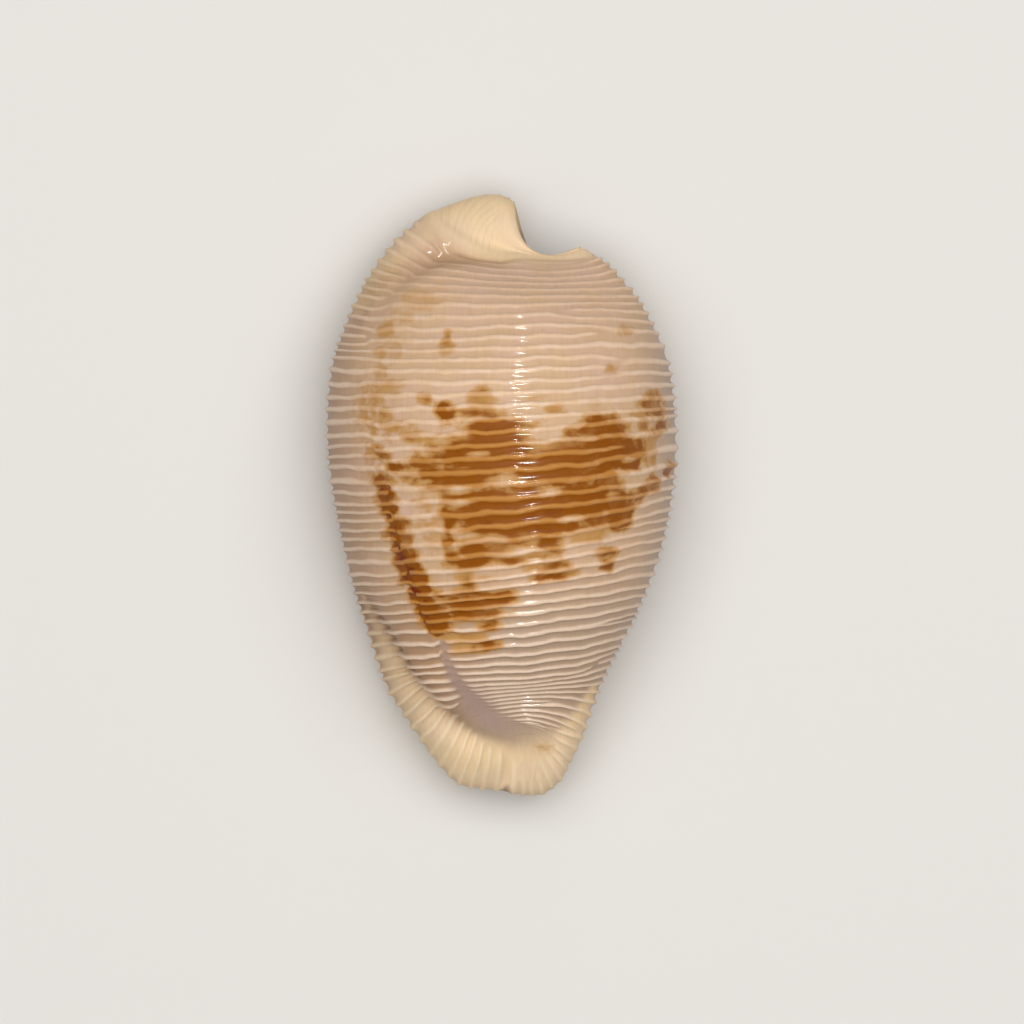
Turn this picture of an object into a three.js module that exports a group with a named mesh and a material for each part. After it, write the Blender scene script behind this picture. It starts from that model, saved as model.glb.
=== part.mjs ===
// A finely ribbed cowrie shell, lying on its flat base with its domed back up.
// The whole shell is one wall, rolled over on itself until its two lips nearly meet.
// Millimetres, +Z up. +Y is the back (spire) end with the open notch, -Y the front end with the
// canal, +X the inner-lip side. The origin is the middle of the base, on the surface it lies on.

import * as THREE from 'three';
import { mergeVertices } from 'three/addons/utils/BufferGeometryUtils.js';

// Driving dimensions, in millimetres
const LENGTH = 30;
const HEIGHT = 14.2;

// Positions in the tables are in hundredths of the length, seen from above, from the middle
const UNIT = LENGTH / 100;

// Every table below is read along the shell by rib number: 0 is the first rib behind the notch,
// 56 the last one at the canal, and -12 to 0 is the smooth beak around the notch.
const FIRST = -12;
const LAST = 56;

// The outline of the shell, as [rib, x, y] where each rib meets it
const LEFT_MARGIN = [
  [-12, 2.2, 48.4], [-11, 1.1, 49.3], [-9.5, -0.7, 49.9], [-7, -3.9, 49.7], [-4, -8.2, 48.4],
  [-2, -10.5, 47.5], [0, -12.7, 46.6], [2.1, -17.5, 42.4], [4.3, -21.3, 37.6], [7, -24.4, 31.9],
  [9.6, -26.7, 26.4], [13.2, -28.4, 20.6], [15.9, -29, 14.3], [17.9, -29, 9.2],
  [20.7, -28.6, 4.2], [23.2, -27.7, -1.9], [25.9, -26.4, -8.2], [28.7, -24.8, -14.8],
  [32.5, -22.9, -20.6], [36.4, -20.8, -27.2], [39.9, -18.8, -32.5], [43.1, -16, -36.8],
  [46, -13.2, -41.1], [48.9, -10, -45.3], [51.5, -7.2, -48], [54, -3.9, -48.8],
  [56, -0.4, -49.1],
];
const RIGHT_MARGIN = [
  [-12, 12.5, 41.1], [-6, 13.7, 40.8], [0, 15, 40.1], [2.2, 17.8, 38.2], [4, 20, 35.8],
  [6.5, 23.1, 32], [8.6, 25.2, 28.1], [11.2, 27.1, 24], [13.9, 28.2, 19.5], [16.6, 28.7, 15.1],
  [19.5, 29, 10], [22.2, 28.9, 5], [24.8, 28.3, -0.2], [26.9, 27.5, -4.9], [29.5, 26.2, -10],
  [32.4, 24.3, -15.3], [35.6, 21.9, -20.8], [39.1, 19, -26.3], [43, 16.6, -31.3],
  [46.2, 14.9, -35.8], [48.9, 13.5, -40], [52, 11.3, -44.6], [54.2, 8.9, -48.3],
  [54.9, 6.9, -49.7], [55.5, 4.2, -49.9], [56, 1.7, -49.6],
];

// The way a rib bends between its two ends, as [rib, x1, y1, x2, y2] of its two handles
const RIB_BEND = [
  [-12, 2.3, 40.8, 6.4, 37.8], [-6, -2.9, 40.6, 7.7, 37.7], [0, -8.5, 40.6, 8, 36.5],
  [3, -11.8, 36.5, 8, 34.5], [6.3, -10.2, 32, 8, 32.4], [8.2, -8.5, 27.7, 10.5, 30.7],
  [12, -8.5, 21.1, 10, 23.3], [16.3, -10.2, 13.2, 9.7, 14.5], [23.2, -9.4, -2.1, 11.3, -0.9],
  [28.2, -7.7, -13.5, 11.7, -11.5], [32, -8.5, -19.3, 11, -17.6], [36.1, -9.2, -25.9, 9, -25.2],
  [40, -11.8, -28.9, 7.7, -31.9], [44, -8.2, -32.2, 9, -32.2], [47, -5.5, -32.5, 10, -33.9],
  [50, -3.6, -33.9, 9.7, -35.8], [54, -0.2, -36.3, 9, -36.3], [55.3, 2.2, -38.8, 6, -38.8],
  [56, 0.1, -49.1, 1.2, -49.4],
];

// The two lips of the mouth, as [rib, x, y] of the edge
const LEFT_LIP = [
  [-12, 2.2, 48.4], [-6, 2.6, 47.1], [0, 3.2, 44.6], [4.3, 4.6, 38.7], [9.6, 1.6, 28.2],
  [15.9, -3.9, 15], [23.2, -6.9, -0.7], [28.7, -7, -12.7], [36.3, -5.9, -25.6],
  [43, -4.6, -34.7], [48.9, -3.2, -41.3], [54, -1.9, -46.9], [56, -0.4, -49.1],
];
const RIGHT_LIP = [
  [-12, 12.5, 41.1], [-6, 11.7, 40.7], [0, 10.7, 40.3], [4, 9.4, 38.7], [8.6, 6.5, 32],
  [13.9, 2.7, 22.8], [19.5, -0.6, 12.5], [24.8, -2.4, 0.9], [29.5, -2.6, -9.4],
  [35.6, -1.9, -20.3], [43, -0.2, -30.5], [48.9, 1.2, -37.8], [54.2, 2.7, -45.1],
  [55.3, 2.7, -47.8], [56, 1.7, -49.6],
];

// Heights in hundredths of the shell's height, as [rib, left margin, right margin, top of the
// back, left side of the base, right side of the base, middle of the hollow]
const HEIGHTS = [
  [-12, 20, 30, 36, 20, 30, 8], [-11, 20, 30, 37, 17, 28, 8], [-9, 20, 29, 37, 13, 25, 9],
  [-6, 20, 29, 38, 10, 22, 10], [0, 20, 28, 43, 6, 15, 13], [3, 21, 29, 56, 4, 10, 18],
  [6.3, 22, 30, 71, 1.6, 4.6, 28], [8.2, 22, 30, 78, 0.2, 2.2, 35],
  [12, 22.5, 31, 89, -1.2, -0.6, 42], [16.3, 23, 31.5, 96.5, -1.4, -1.4, 47],
  [20.5, 23, 32, 100, -1.4, -1.4, 49], [25, 23, 32, 98.5, -1.4, -1.4, 48],
  [28.2, 23, 31, 95, -1.4, -1.4, 46], [32, 22.5, 30, 88.5, -1.4, -1.4, 41],
  [36.1, 22.5, 29.5, 79, -1.4, -1.4, 36], [40, 22, 28, 68.5, -1, -1, 30],
  [44, 21, 27, 59.5, 0.3, 0.3, 24], [48, 20, 25, 51.5, 3.2, 3.2, 18], [50, 20, 23, 48, 6, 6, 15],
  [54, 18, 20, 42.5, 11, 11, 9], [55.3, 17, 18, 38, 14, 14, 8], [56, 17, 17, 24, 17, 17, 7],
];

// Sections: 2 would make them ellipses, more makes them squarer
const ROUNDNESS = 2.2;
// Where the base touches the table, as a share of the way from a lip to the margin
const LEFT_CONTACT = 0.32;
const RIGHT_CONTACT = 0.4;
// How far a lip's edge stands off the table, in millimetres
const LIP_RISE = 0.55;
// The thickness of the wall, as a share of the way from the outside to the middle of the hollow
const WALL = 0.2;
// The wall's thickness at the rims of the two ends, in millimetres
const RIM_WALL = 0.1;
// The canals that lead in from the rims: which way, how deep in millimetres after one rib, how much
// wider than the rim, and the ribs where each starts and ends turning into the hollow
const BACK_CANAL = {
  inwards: new THREE.Vector3(-0.13, -0.97, 0), depth: 0.35, widening: 0, hollowAt: [0, 12],
};
const FRONT_CANAL = {
  inwards: new THREE.Vector3(-0.16, 0.98, 0.1), depth: 0.9, widening: 1.2, hollowAt: [54, 45],
};
// How many ribs a canal takes to widen, and how far its lower edges drop, in millimetres over how
// many ribs
const CANAL_WIDENS_OVER = 3;
const CANAL_EDGE_DROP = 0.3;
const CANAL_EDGE_DROPS_OVER = 6;

// Relief, in millimetres: rib height from valley to crest, and how far the teeth stand out
const BACK_RIB = 0.15;
const MARGIN_RIB = 0.22;
const BASE_RIB = 0.16;
const TOOTH = 0.16;

// The sunken spire and the furrow from it down the left shoulder, then the furrow inside the
// raised rim at the front left, both as [x, y, depth in millimetres]
const SPIRE_FURROW = [
  [-0.2, 39.5, 0.25], [-5.2, 40.3, 0.45], [-10.2, 40.1, 0.5], [-15.1, 37.3, 0.4],
  [-19.3, 33.2, 0.3], [-22.1, 27.4, 0.12],
];
const RIM_FURROW = [
  [-25.1, -10.7, 0.05], [-23.1, -17.3, 0.25], [-20.1, -23.9, 0.45], [-16.8, -30.5, 0.6],
  [-11.5, -36.3, 0.6], [-5.2, -40.5, 0.45], [1.4, -42.5, 0.25], [7.2, -41.8, 0],
];
const SPIRE_FURROW_WIDTH = 1.8;
const RIM_FURROW_WIDTH = 1.8;

// How finely the shell is divided
const BEAK_ROWS = [-12, -11.4, -10.6, -9.5, -8, -6, -4, -2];
const ROWS_PER_RIB = 2;
const BACK_STEPS = 15;
const HOLLOW_STEPS = 9;

const lerp = THREE.MathUtils.lerp;
const clamp = THREE.MathUtils.clamp;
const smooth = (value, from, to) => THREE.MathUtils.smoothstep(value, from, to);

// A table as a smooth curve through its entries, read by rib number
function curveThrough(table) {
  const width = table[0].length - 1;
  const step = (i) => table[i + 1][0] - table[i][0];
  const rise = (i, k) => (table[i + 1][k] - table[i][k]) / step(i);
  const slope = (i, k) => {
    if (i === 0) return rise(0, k);
    if (i === table.length - 1) return rise(i - 1, k);
    const before = step(i - 1);
    const after = step(i);
    return (after * rise(i - 1, k) + before * rise(i, k)) / (before + after);
  };
  return (rib) => {
    const at = clamp(rib, table[0][0], table[table.length - 1][0]);
    let i = 0;
    while (i < table.length - 2 && table[i + 1][0] < at) i += 1;
    const h = step(i);
    const t = (at - table[i][0]) / h;
    const values = [];
    for (let k = 1; k <= width; k += 1) {
      const a = table[i][k];
      const b = table[i + 1][k];
      const hermite = (2 * t ** 3 - 3 * t ** 2 + 1) * a + (3 * t ** 2 - 2 * t ** 3) * b
        + (t ** 3 - 2 * t ** 2 + t) * h * slope(i, k) + (t ** 3 - t ** 2) * h * slope(i + 1, k);
      values.push(hermite);
    }
    return values;
  };
}

const leftMargin = curveThrough(LEFT_MARGIN);
const rightMargin = curveThrough(RIGHT_MARGIN);
const ribBend = curveThrough(RIB_BEND);
const leftLip = curveThrough(LEFT_LIP);
const rightLip = curveThrough(RIGHT_LIP);
const heights = curveThrough(HEIGHTS);

// The outside of the shell before any relief. "round" goes round the section: -3 is the left lip's
// edge, -2 where the left side of the base touches, -1 the left margin, 0 the top of the back, and
// 1, 2 and 3 the same on the right.
function outside(rib, round) {
  const left = leftMargin(rib);
  const right = rightMargin(rib);
  const [leftZ, rightZ, topZ, leftBaseZ, rightBaseZ] = heights(rib).map((z) => z * HEIGHT / 100);
  if (Math.abs(round) <= 1) {
    const [x1, y1, x2, y2] = ribBend(rib);
    const angle = (round + 1) * Math.PI / 2;
    const t = (1 - Math.cos(angle)) / 2;
    const weights = [(1 - t) ** 3, 3 * t * (1 - t) ** 2, 3 * t ** 2 * (1 - t), t ** 3];
    const x = weights[0] * left[0] + weights[1] * x1 + weights[2] * x2 + weights[3] * right[0];
    const y = weights[0] * left[1] + weights[1] * y1 + weights[2] * y2 + weights[3] * right[1];
    const foot = lerp(leftZ, rightZ, t);
    const z = foot + (topZ - foot) * Math.max(Math.sin(angle), 0) ** (2 / ROUNDNESS);
    return new THREE.Vector3(x * UNIT, y * UNIT, z);
  }
  const onLeft = round < 0;
  const margin = onLeft ? left : right;
  const lip = onLeft ? leftLip(rib) : rightLip(rib);
  const marginZ = onLeft ? leftZ : rightZ;
  const baseZ = onLeft ? leftBaseZ : rightBaseZ;
  const contact = onLeft ? LEFT_CONTACT : RIGHT_CONTACT;
  const reach = Math.abs(round);
  if (reach <= 2) {
    const angle = (reach - 1) * Math.PI / 2;
    const out = contact + (1 - contact) * Math.max(Math.cos(angle), 0) ** (2 / ROUNDNESS);
    const z = lerp(marginZ, baseZ, Math.sin(angle) ** (2 / ROUNDNESS));
    return new THREE.Vector3(
      lerp(lip[0], margin[0], out) * UNIT, lerp(lip[1], margin[1], out) * UNIT, z);
  }
  const out = contact * (3 - reach);
  const opening = clamp((marginZ - baseZ) / marginZ, 0, 1);
  const z = baseZ + LIP_RISE * opening * (reach - 2) ** 3;
  return new THREE.Vector3(
    lerp(lip[0], margin[0], out) * UNIT, lerp(lip[1], margin[1], out) * UNIT, z);
}

// The direction straight out of the shell
function outward(rib, round) {
  const r = clamp(rib, FIRST + 0.4, LAST - 0.2);
  const s = clamp(round, -2.97, 2.97);
  const along = outside(r + 0.05, s).sub(outside(r - 0.05, s));
  const across = outside(r, s + 0.02).sub(outside(r, s - 0.02));
  return along.cross(across).normalize();
}

// The depth of a furrow at a point seen from above
function furrowDepth(x, y, path, width) {
  let depth = 0;
  for (let i = 0; i < path.length - 1; i += 1) {
    const [ax, ay, aDepth] = path[i];
    const [bx, by, bDepth] = path[i + 1];
    const span = (bx - ax) ** 2 + (by - ay) ** 2;
    const t = clamp(((x - ax) * (bx - ax) + (y - ay) * (by - ay)) / span, 0, 1);
    const gap = Math.hypot(x - lerp(ax, bx, t), y - lerp(ay, by, t)) / width;
    depth = Math.max(depth, lerp(aDepth, bDepth, t) * Math.exp(-gap * gap));
  }
  return depth;
}

// How far the finished surface stands out from the plain one
function relief(rib, round, point) {
  const x = point.x / UNIT;
  const y = point.y / UNIT;
  const reach = Math.abs(round);
  const onBack = reach < 1;
  const spire = onBack ? furrowDepth(x, y, SPIRE_FURROW, SPIRE_FURROW_WIDTH) : 0;
  const rim = onBack ? furrowDepth(x, y, RIM_FURROW, RIM_FURROW_WIDTH) : 0;
  const marginShare = 1 - smooth(Math.abs(reach - 1), 0, 0.45);
  const plainRib = onBack ? BACK_RIB : BASE_RIB;
  const ends = smooth(rib, 0, 2.5) * (1 - smooth(rib, 54.5, 56));
  const nearMouth = smooth(reach, 1.5, 2.2);
  const mouthEnds = lerp(1, smooth(rib, 3, 9) * (1 - smooth(rib, 47, 52)), nearMouth);
  const plainSpire = 1 - clamp(spire * 2, 0, 1);
  const ribHeight = lerp(plainRib, MARGIN_RIB, marginShare) * ends * mouthEnds * plainSpire;
  const teeth = smooth(reach, 2.4, 3) * mouthEnds * TOOTH * Math.cos(Math.PI * rib);
  return ribHeight / 2 * Math.cos(2 * Math.PI * rib) + teeth - spire - rim;
}

// The finished outside: relief added, and worn flat where it rests on the table
function outerPoint(rib, round) {
  const point = outside(rib, round);
  point.addScaledVector(outward(rib, round), relief(rib, round, point));
  point.z = Math.max(point.z, 0);
  return point;
}

// The hollow follows the outside at an even share of the way to its own middle. At the two ends it
// turns into a canal that starts at the rim and runs straight in, so the wall has a rounded rim.
function innerPoint(rib, round) {
  const chordMiddle = outside(rib, -1).add(outside(rib, 1)).multiplyScalar(0.5);
  const middle = outside(rib, 0).add(chordMiddle).multiplyScalar(0.5);
  middle.z = heights(rib)[5] * HEIGHT / 100;
  const point = outside(rib, round).lerp(middle, WALL);
  const nearNotch = 1 - smooth(rib, ...BACK_CANAL.hollowAt);
  point.lerp(canalWall(BACK_CANAL, FIRST, round, rib - FIRST), nearNotch);
  const [canalFrom, hollowTo] = FRONT_CANAL.hollowAt;
  const nearFront = smooth(rib, hollowTo, canalFrom);
  point.lerp(canalWall(FRONT_CANAL, LAST, round, LAST - rib), nearFront);
  return point;
}

// A canal is the rim of the shell's end, carried inwards and widened about its middle
function canalWall(canal, end, round, ribsIn) {
  const rim = outside(end, round);
  const rimMiddle = outside(end, -1).add(outside(end, 1)).multiplyScalar(0.5);
  const wider = 1 + canal.widening * Math.min(ribsIn / CANAL_WIDENS_OVER, 1);
  rim.x = rimMiddle.x + (rim.x - rimMiddle.x) * wider;
  const pastMargin = Math.max(Math.abs(round) - 1, 0);
  rim.z -= CANAL_EDGE_DROP * pastMargin * Math.min(ribsIn / CANAL_EDGE_DROPS_OVER, 1);
  const depth = RIM_WALL + canal.depth * Math.sqrt(ribsIn);
  return rim.addScaledVector(canal.inwards, depth);
}

// The steps round one section: the outside from lip to lip, then back along the hollow
function stepsBetween(from, to, count) {
  return Array.from({ length: count + 1 }, (_, i) => lerp(from, to, i / count));
}
const OUTER_STEPS = [
  -3, -2.5, -2, -1.6, -1.3, ...stepsBetween(-1, 1, BACK_STEPS), 1.3, 1.6, 2, 2.5, 3,
];
const INNER_STEPS = [3, 2, ...stepsBetween(1, -1, HOLLOW_STEPS), -2, -3];

// Two chains of points joined by a strip of triangles, always stepping along the shorter one
function stitch(faces, chainA, stepsA, chainB, stepsB) {
  let a = 0;
  let b = 0;
  while (a < chainA.length - 1 || b < chainB.length - 1) {
    const stepA = b === chainB.length - 1
      || (a < chainA.length - 1 && stepsA[a + 1] <= stepsB[b + 1]);
    if (stepA) {
      faces.push(chainA[a], chainA[a + 1], chainB[b]);
      a += 1;
    } else {
      faces.push(chainA[a], chainB[b + 1], chainB[b]);
      b += 1;
    }
  }
}

function shellGeometry() {
  const rows = [...BEAK_ROWS, ...stepsBetween(0, LAST, LAST * ROWS_PER_RIB)];
  const ring = OUTER_STEPS.length + INNER_STEPS.length;
  const positions = [];
  const faces = [];
  for (const rib of rows) {
    for (const round of OUTER_STEPS) positions.push(...outerPoint(rib, round));
    for (const round of INNER_STEPS) positions.push(...innerPoint(rib, round));
  }
  for (let row = 0; row < rows.length - 1; row += 1) {
    for (let i = 0; i < ring; i += 1) {
      const here = row * ring + i;
      const next = row * ring + (i + 1) % ring;
      faces.push(here, here + ring, next, next, here + ring, next + ring);
    }
  }
  // The two end rims close the wall between the outside and the hollow
  const chain = (row, from, count) => stepsBetween(from, from + count - 1, count - 1)
    .map((i) => row * ring + i);
  const outer = OUTER_STEPS.length;
  const inner = INNER_STEPS.length;
  const innerUp = [...INNER_STEPS].reverse();
  const firstInner = chain(0, outer, inner).reverse();
  const lastInner = chain(rows.length - 1, outer, inner).reverse();
  stitch(faces, chain(0, 0, outer), OUTER_STEPS, firstInner, innerUp);
  const lastRim = [];
  stitch(lastRim, chain(rows.length - 1, 0, outer), OUTER_STEPS, lastInner, innerUp);
  for (let i = 0; i < lastRim.length; i += 3) faces.push(lastRim[i], lastRim[i + 2], lastRim[i + 1]);

  // Points that fall together at the ends become one, and triangles that shrink to a line go
  const loose = new THREE.BufferGeometry();
  loose.setAttribute('position', new THREE.Float32BufferAttribute(positions, 3));
  loose.setIndex(faces);
  const merged = mergeVertices(loose, 2e-3);
  const index = merged.getIndex().array;
  const kept = [];
  for (let i = 0; i < index.length; i += 3) {
    const [a, b, c] = index.subarray(i, i + 3);
    if (a !== b && b !== c && c !== a) kept.push(a, b, c);
  }
  merged.setIndex(kept);

  // The origin is the middle of the shell's own base
  merged.computeBoundingBox();
  const middle = merged.boundingBox.getCenter(new THREE.Vector3());
  merged.translate(-middle.x, -middle.y, -merged.boundingBox.min.z);
  merged.computeVertexNormals();
  return merged;
}

// Porcelain-like enamel over the whole shell: warm tan, glossy
const enamel = new THREE.MeshStandardMaterial({ color: 0xc8a583, roughness: 0.28, metalness: 0 });

const shell = new THREE.Mesh(shellGeometry(), enamel);
shell.name = 'cowrie_shell';

const cowrie = new THREE.Group();
cowrie.add(shell);

export default cowrie;
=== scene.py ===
# %% [markdown]
# # A finely ribbed cowrie shell, seen from above
# One natural piece: a domed, cross-ribbed back, a beak with an open notch, a raised cream rim on
# the lower left, and a flattened base with a toothed slit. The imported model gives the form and
# the size; this lesson gives the finer ribs, the enamel and the brown markings.

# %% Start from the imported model
import bpy
import bmesh
import numpy as np
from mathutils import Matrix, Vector


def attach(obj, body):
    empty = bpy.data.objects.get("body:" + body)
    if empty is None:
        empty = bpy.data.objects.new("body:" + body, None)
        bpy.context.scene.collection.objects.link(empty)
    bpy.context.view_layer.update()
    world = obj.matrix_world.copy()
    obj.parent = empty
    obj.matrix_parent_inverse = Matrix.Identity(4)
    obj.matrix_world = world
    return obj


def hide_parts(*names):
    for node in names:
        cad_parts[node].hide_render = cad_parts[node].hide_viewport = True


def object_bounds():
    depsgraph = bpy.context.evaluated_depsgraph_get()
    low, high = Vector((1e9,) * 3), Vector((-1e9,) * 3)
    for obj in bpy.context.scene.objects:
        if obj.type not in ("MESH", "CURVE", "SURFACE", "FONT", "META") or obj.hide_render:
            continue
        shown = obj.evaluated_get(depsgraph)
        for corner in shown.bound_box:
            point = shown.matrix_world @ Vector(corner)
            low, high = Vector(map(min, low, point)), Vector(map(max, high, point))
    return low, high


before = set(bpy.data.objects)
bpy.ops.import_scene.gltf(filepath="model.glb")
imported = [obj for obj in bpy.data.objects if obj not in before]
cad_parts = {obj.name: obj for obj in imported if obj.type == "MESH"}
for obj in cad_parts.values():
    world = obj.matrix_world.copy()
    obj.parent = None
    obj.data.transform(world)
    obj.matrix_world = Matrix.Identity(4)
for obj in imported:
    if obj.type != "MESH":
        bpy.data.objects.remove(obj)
cad_low, cad_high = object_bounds()
print("frame box, mm:", [round(1000 * v, 2) for v in (*cad_low, *cad_high)])

# %% [markdown]
# ## The form, by rib number
# A cowrie grows its ribs across the back, from one margin to the other. The dome could be
# sculpted, but the ribs would then be carved in afterwards and drift. So every table is read
# along the shell by rib number: 0 is the first rib behind the notch, 56 the last one at the
# canal, and -12 to 0 is the beak beside the notch. Places are in hundredths of the length, x to
# the right and y to the back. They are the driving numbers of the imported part, so both forms
# agree.

# %% Driving dimensions
LENGTH = 30.0
HEIGHT = 14.2
UNIT = LENGTH / 100
FIRST, LAST = -12, 56
# Where the tables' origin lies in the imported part's frame, in millimetres
SHIFT = (0.0039, 0.0226, 0.0)
print("shell", LENGTH, "mm long,", HEIGHT, "mm high, ribs", FIRST, "to", LAST)

# %% [markdown]
# ### The margins
# Seen from above, the shell ends at its two margins. Each row is a rib number and the place where
# that rib meets the edge. An outline curve alone would lose which rib ends where.

# %% Left and right margin
LEFT_MARGIN = [
    (-12, 2.2, 48.4), (-11, 1.1, 49.3), (-9.5, -0.7, 49.9), (-7, -3.9, 49.7), (-4, -8.2, 48.4),
    (-2, -10.5, 47.5), (0, -12.7, 46.6), (2.1, -17.5, 42.4), (4.3, -21.3, 37.6), (7, -24.4, 31.9),
    (9.6, -26.7, 26.4), (13.2, -28.4, 20.6), (15.9, -29, 14.3), (17.9, -29, 9.2),
    (20.7, -28.6, 4.2), (23.2, -27.7, -1.9), (25.9, -26.4, -8.2), (28.7, -24.8, -14.8),
    (32.5, -22.9, -20.6), (36.4, -20.8, -27.2), (39.9, -18.8, -32.5), (43.1, -16, -36.8),
    (46, -13.2, -41.1), (48.9, -10, -45.3), (51.5, -7.2, -48), (54, -3.9, -48.8), (56, -0.4, -49.1),
]
RIGHT_MARGIN = [
    (-12, 12.5, 41.1), (-6, 13.7, 40.8), (0, 15, 40.1), (2.2, 17.8, 38.2), (4, 20, 35.8),
    (6.5, 23.1, 32), (8.6, 25.2, 28.1), (11.2, 27.1, 24), (13.9, 28.2, 19.5), (16.6, 28.7, 15.1),
    (19.5, 29, 10), (22.2, 28.9, 5), (24.8, 28.3, -0.2), (26.9, 27.5, -4.9), (29.5, 26.2, -10),
    (32.4, 24.3, -15.3), (35.6, 21.9, -20.8), (39.1, 19, -26.3), (43, 16.6, -31.3),
    (46.2, 14.9, -35.8), (48.9, 13.5, -40), (52, 11.3, -44.6), (54.2, 8.9, -48.3),
    (54.9, 6.9, -49.7), (55.5, 4.2, -49.9), (56, 1.7, -49.6),
]
print("margins:", len(LEFT_MARGIN), "places on the left,", len(RIGHT_MARGIN), "on the right")

# %% [markdown]
# ### The bend of the ribs, and the lips
# A rib doesn't cross the back in a straight line, so each has the two inner handles of a Bezier
# curve. The lips are the two edges of the slit below, where the wall turns in.

# %% Bend and lips
RIB_BEND = [
    (-12, 2.3, 40.8, 6.4, 37.8), (-6, -2.9, 40.6, 7.7, 37.7), (0, -8.5, 40.6, 8, 36.5),
    (3, -11.8, 36.5, 8, 34.5), (6.3, -10.2, 32, 8, 32.4), (8.2, -8.5, 27.7, 10.5, 30.7),
    (12, -8.5, 21.1, 10, 23.3), (16.3, -10.2, 13.2, 9.7, 14.5), (23.2, -9.4, -2.1, 11.3, -0.9),
    (28.2, -7.7, -13.5, 11.7, -11.5), (32, -8.5, -19.3, 11, -17.6), (36.1, -9.2, -25.9, 9, -25.2),
    (40, -11.8, -28.9, 7.7, -31.9), (44, -8.2, -32.2, 9, -32.2), (47, -5.5, -32.5, 10, -33.9),
    (50, -3.6, -33.9, 9.7, -35.8), (54, -0.2, -36.3, 9, -36.3), (55.3, 2.2, -38.8, 6, -38.8),
    (56, 0.1, -49.1, 1.2, -49.4),
]
LEFT_LIP = [
    (-12, 2.2, 48.4), (-6, 2.6, 47.1), (0, 3.2, 44.6), (4.3, 4.6, 38.7), (9.6, 1.6, 28.2),
    (15.9, -3.9, 15), (23.2, -6.9, -0.7), (28.7, -7, -12.7), (36.3, -5.9, -25.6),
    (43, -4.6, -34.7), (48.9, -3.2, -41.3), (54, -1.9, -46.9), (56, -0.4, -49.1),
]
RIGHT_LIP = [
    (-12, 12.5, 41.1), (-6, 11.7, 40.7), (0, 10.7, 40.3), (4, 9.4, 38.7), (8.6, 6.5, 32),
    (13.9, 2.7, 22.8), (19.5, -0.6, 12.5), (24.8, -2.4, 0.9), (29.5, -2.6, -9.4),
    (35.6, -1.9, -20.3), (43, -0.2, -30.5), (48.9, 1.2, -37.8), (54.2, 2.7, -45.1),
    (55.3, 2.7, -47.8), (56, 1.7, -49.6),
]
print("bends:", len(RIB_BEND), "rows, lips:", len(LEFT_LIP), "and", len(RIGHT_LIP))

# %% [markdown]
# ### Heights and wall
# The photo shows no heights, so these follow what such shells usually are: highest a little
# behind the middle, low at both ends.

# %% Heights and wall
# Left margin, right margin, top of the back, left and right of the base, middle of the hollow, in
# hundredths of the height
HEIGHTS = [
    (-12, 20, 30, 36, 20, 30, 8), (-11, 20, 30, 37, 17, 28, 8), (-9, 20, 29, 37, 13, 25, 9),
    (-6, 20, 29, 38, 10, 22, 10), (0, 20, 28, 43, 6, 15, 13), (3, 21, 29, 56, 4, 10, 18),
    (6.3, 22, 30, 71, 1.6, 4.6, 28), (8.2, 22, 30, 78, 0.2, 2.2, 35),
    (12, 22.5, 31, 89, -1.2, -0.6, 42), (16.3, 23, 31.5, 96.5, -1.4, -1.4, 47),
    (20.5, 23, 32, 100, -1.4, -1.4, 49), (25, 23, 32, 98.5, -1.4, -1.4, 48),
    (28.2, 23, 31, 95, -1.4, -1.4, 46), (32, 22.5, 30, 88.5, -1.4, -1.4, 41),
    (36.1, 22.5, 29.5, 79, -1.4, -1.4, 36), (40, 22, 28, 68.5, -1, -1, 30),
    (44, 21, 27, 59.5, 0.3, 0.3, 24), (48, 20, 25, 51.5, 3.2, 3.2, 18), (50, 20, 23, 48, 6, 6, 15),
    (54, 18, 20, 42.5, 11, 11, 9), (55.3, 17, 18, 38, 14, 14, 8), (56, 17, 17, 24, 17, 17, 7),
]
# How square a section is: 2 is an ellipse, more is squarer
ROUNDNESS = 2.2
# Where the base touches the table, as a share of the way from the lip to the margin
LEFT_CONTACT, RIGHT_CONTACT = 0.32, 0.4
# How far the base rises on its way to the lip, in millimetres
LIP_RISE = 0.55
# The wall: its share of the way in to the middle of the hollow, and its millimetres at both ends
WALL = 0.2
RIM_WALL = 0.1
print("heights:", len(HEIGHTS), "rows, the highest", max(row[3] for row in HEIGHTS), "%")

# %% [markdown]
# ### Tables as curves
# Straight lines between rows would show as creases in the gloss. So each table becomes a curve
# that passes through every row and has one slope there.

# %% Smooth curves through the tables
def smooth(value, start, end):
    t = np.clip((value - start) / (end - start), 0, 1)
    return t * t * (3 - 2 * t)


def lerp(a, b, t):
    return a + (b - a) * t


def curve_through(rows):
    """A table as a smooth curve through its entries: rib number in, one array per column out."""
    data = np.array(rows, float)
    at, values = data[:, 0], data[:, 1:]
    step = np.diff(at)[:, None]
    rise = np.diff(values, axis=0) / step
    slope = np.empty_like(values)
    slope[0], slope[-1] = rise[0], rise[-1]
    slope[1:-1] = (step[1:] * rise[:-1] + step[:-1] * rise[1:]) / (step[:-1] + step[1:])

    def read(rib):
        rib = np.clip(rib, at[0], at[-1])
        i = np.clip(np.searchsorted(at, rib, "right") - 1, 0, len(at) - 2)
        h = step[i]
        t = ((rib - at[i]) / h[..., 0])[..., None]
        a, b = values[i], values[i + 1]
        found = ((2 * t**3 - 3 * t**2 + 1) * a + (3 * t**2 - 2 * t**3) * b
                 + (t**3 - 2 * t**2 + t) * h * slope[i] + (t**3 - t**2) * h * slope[i + 1])
        return np.moveaxis(found, -1, 0)

    return read


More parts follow.
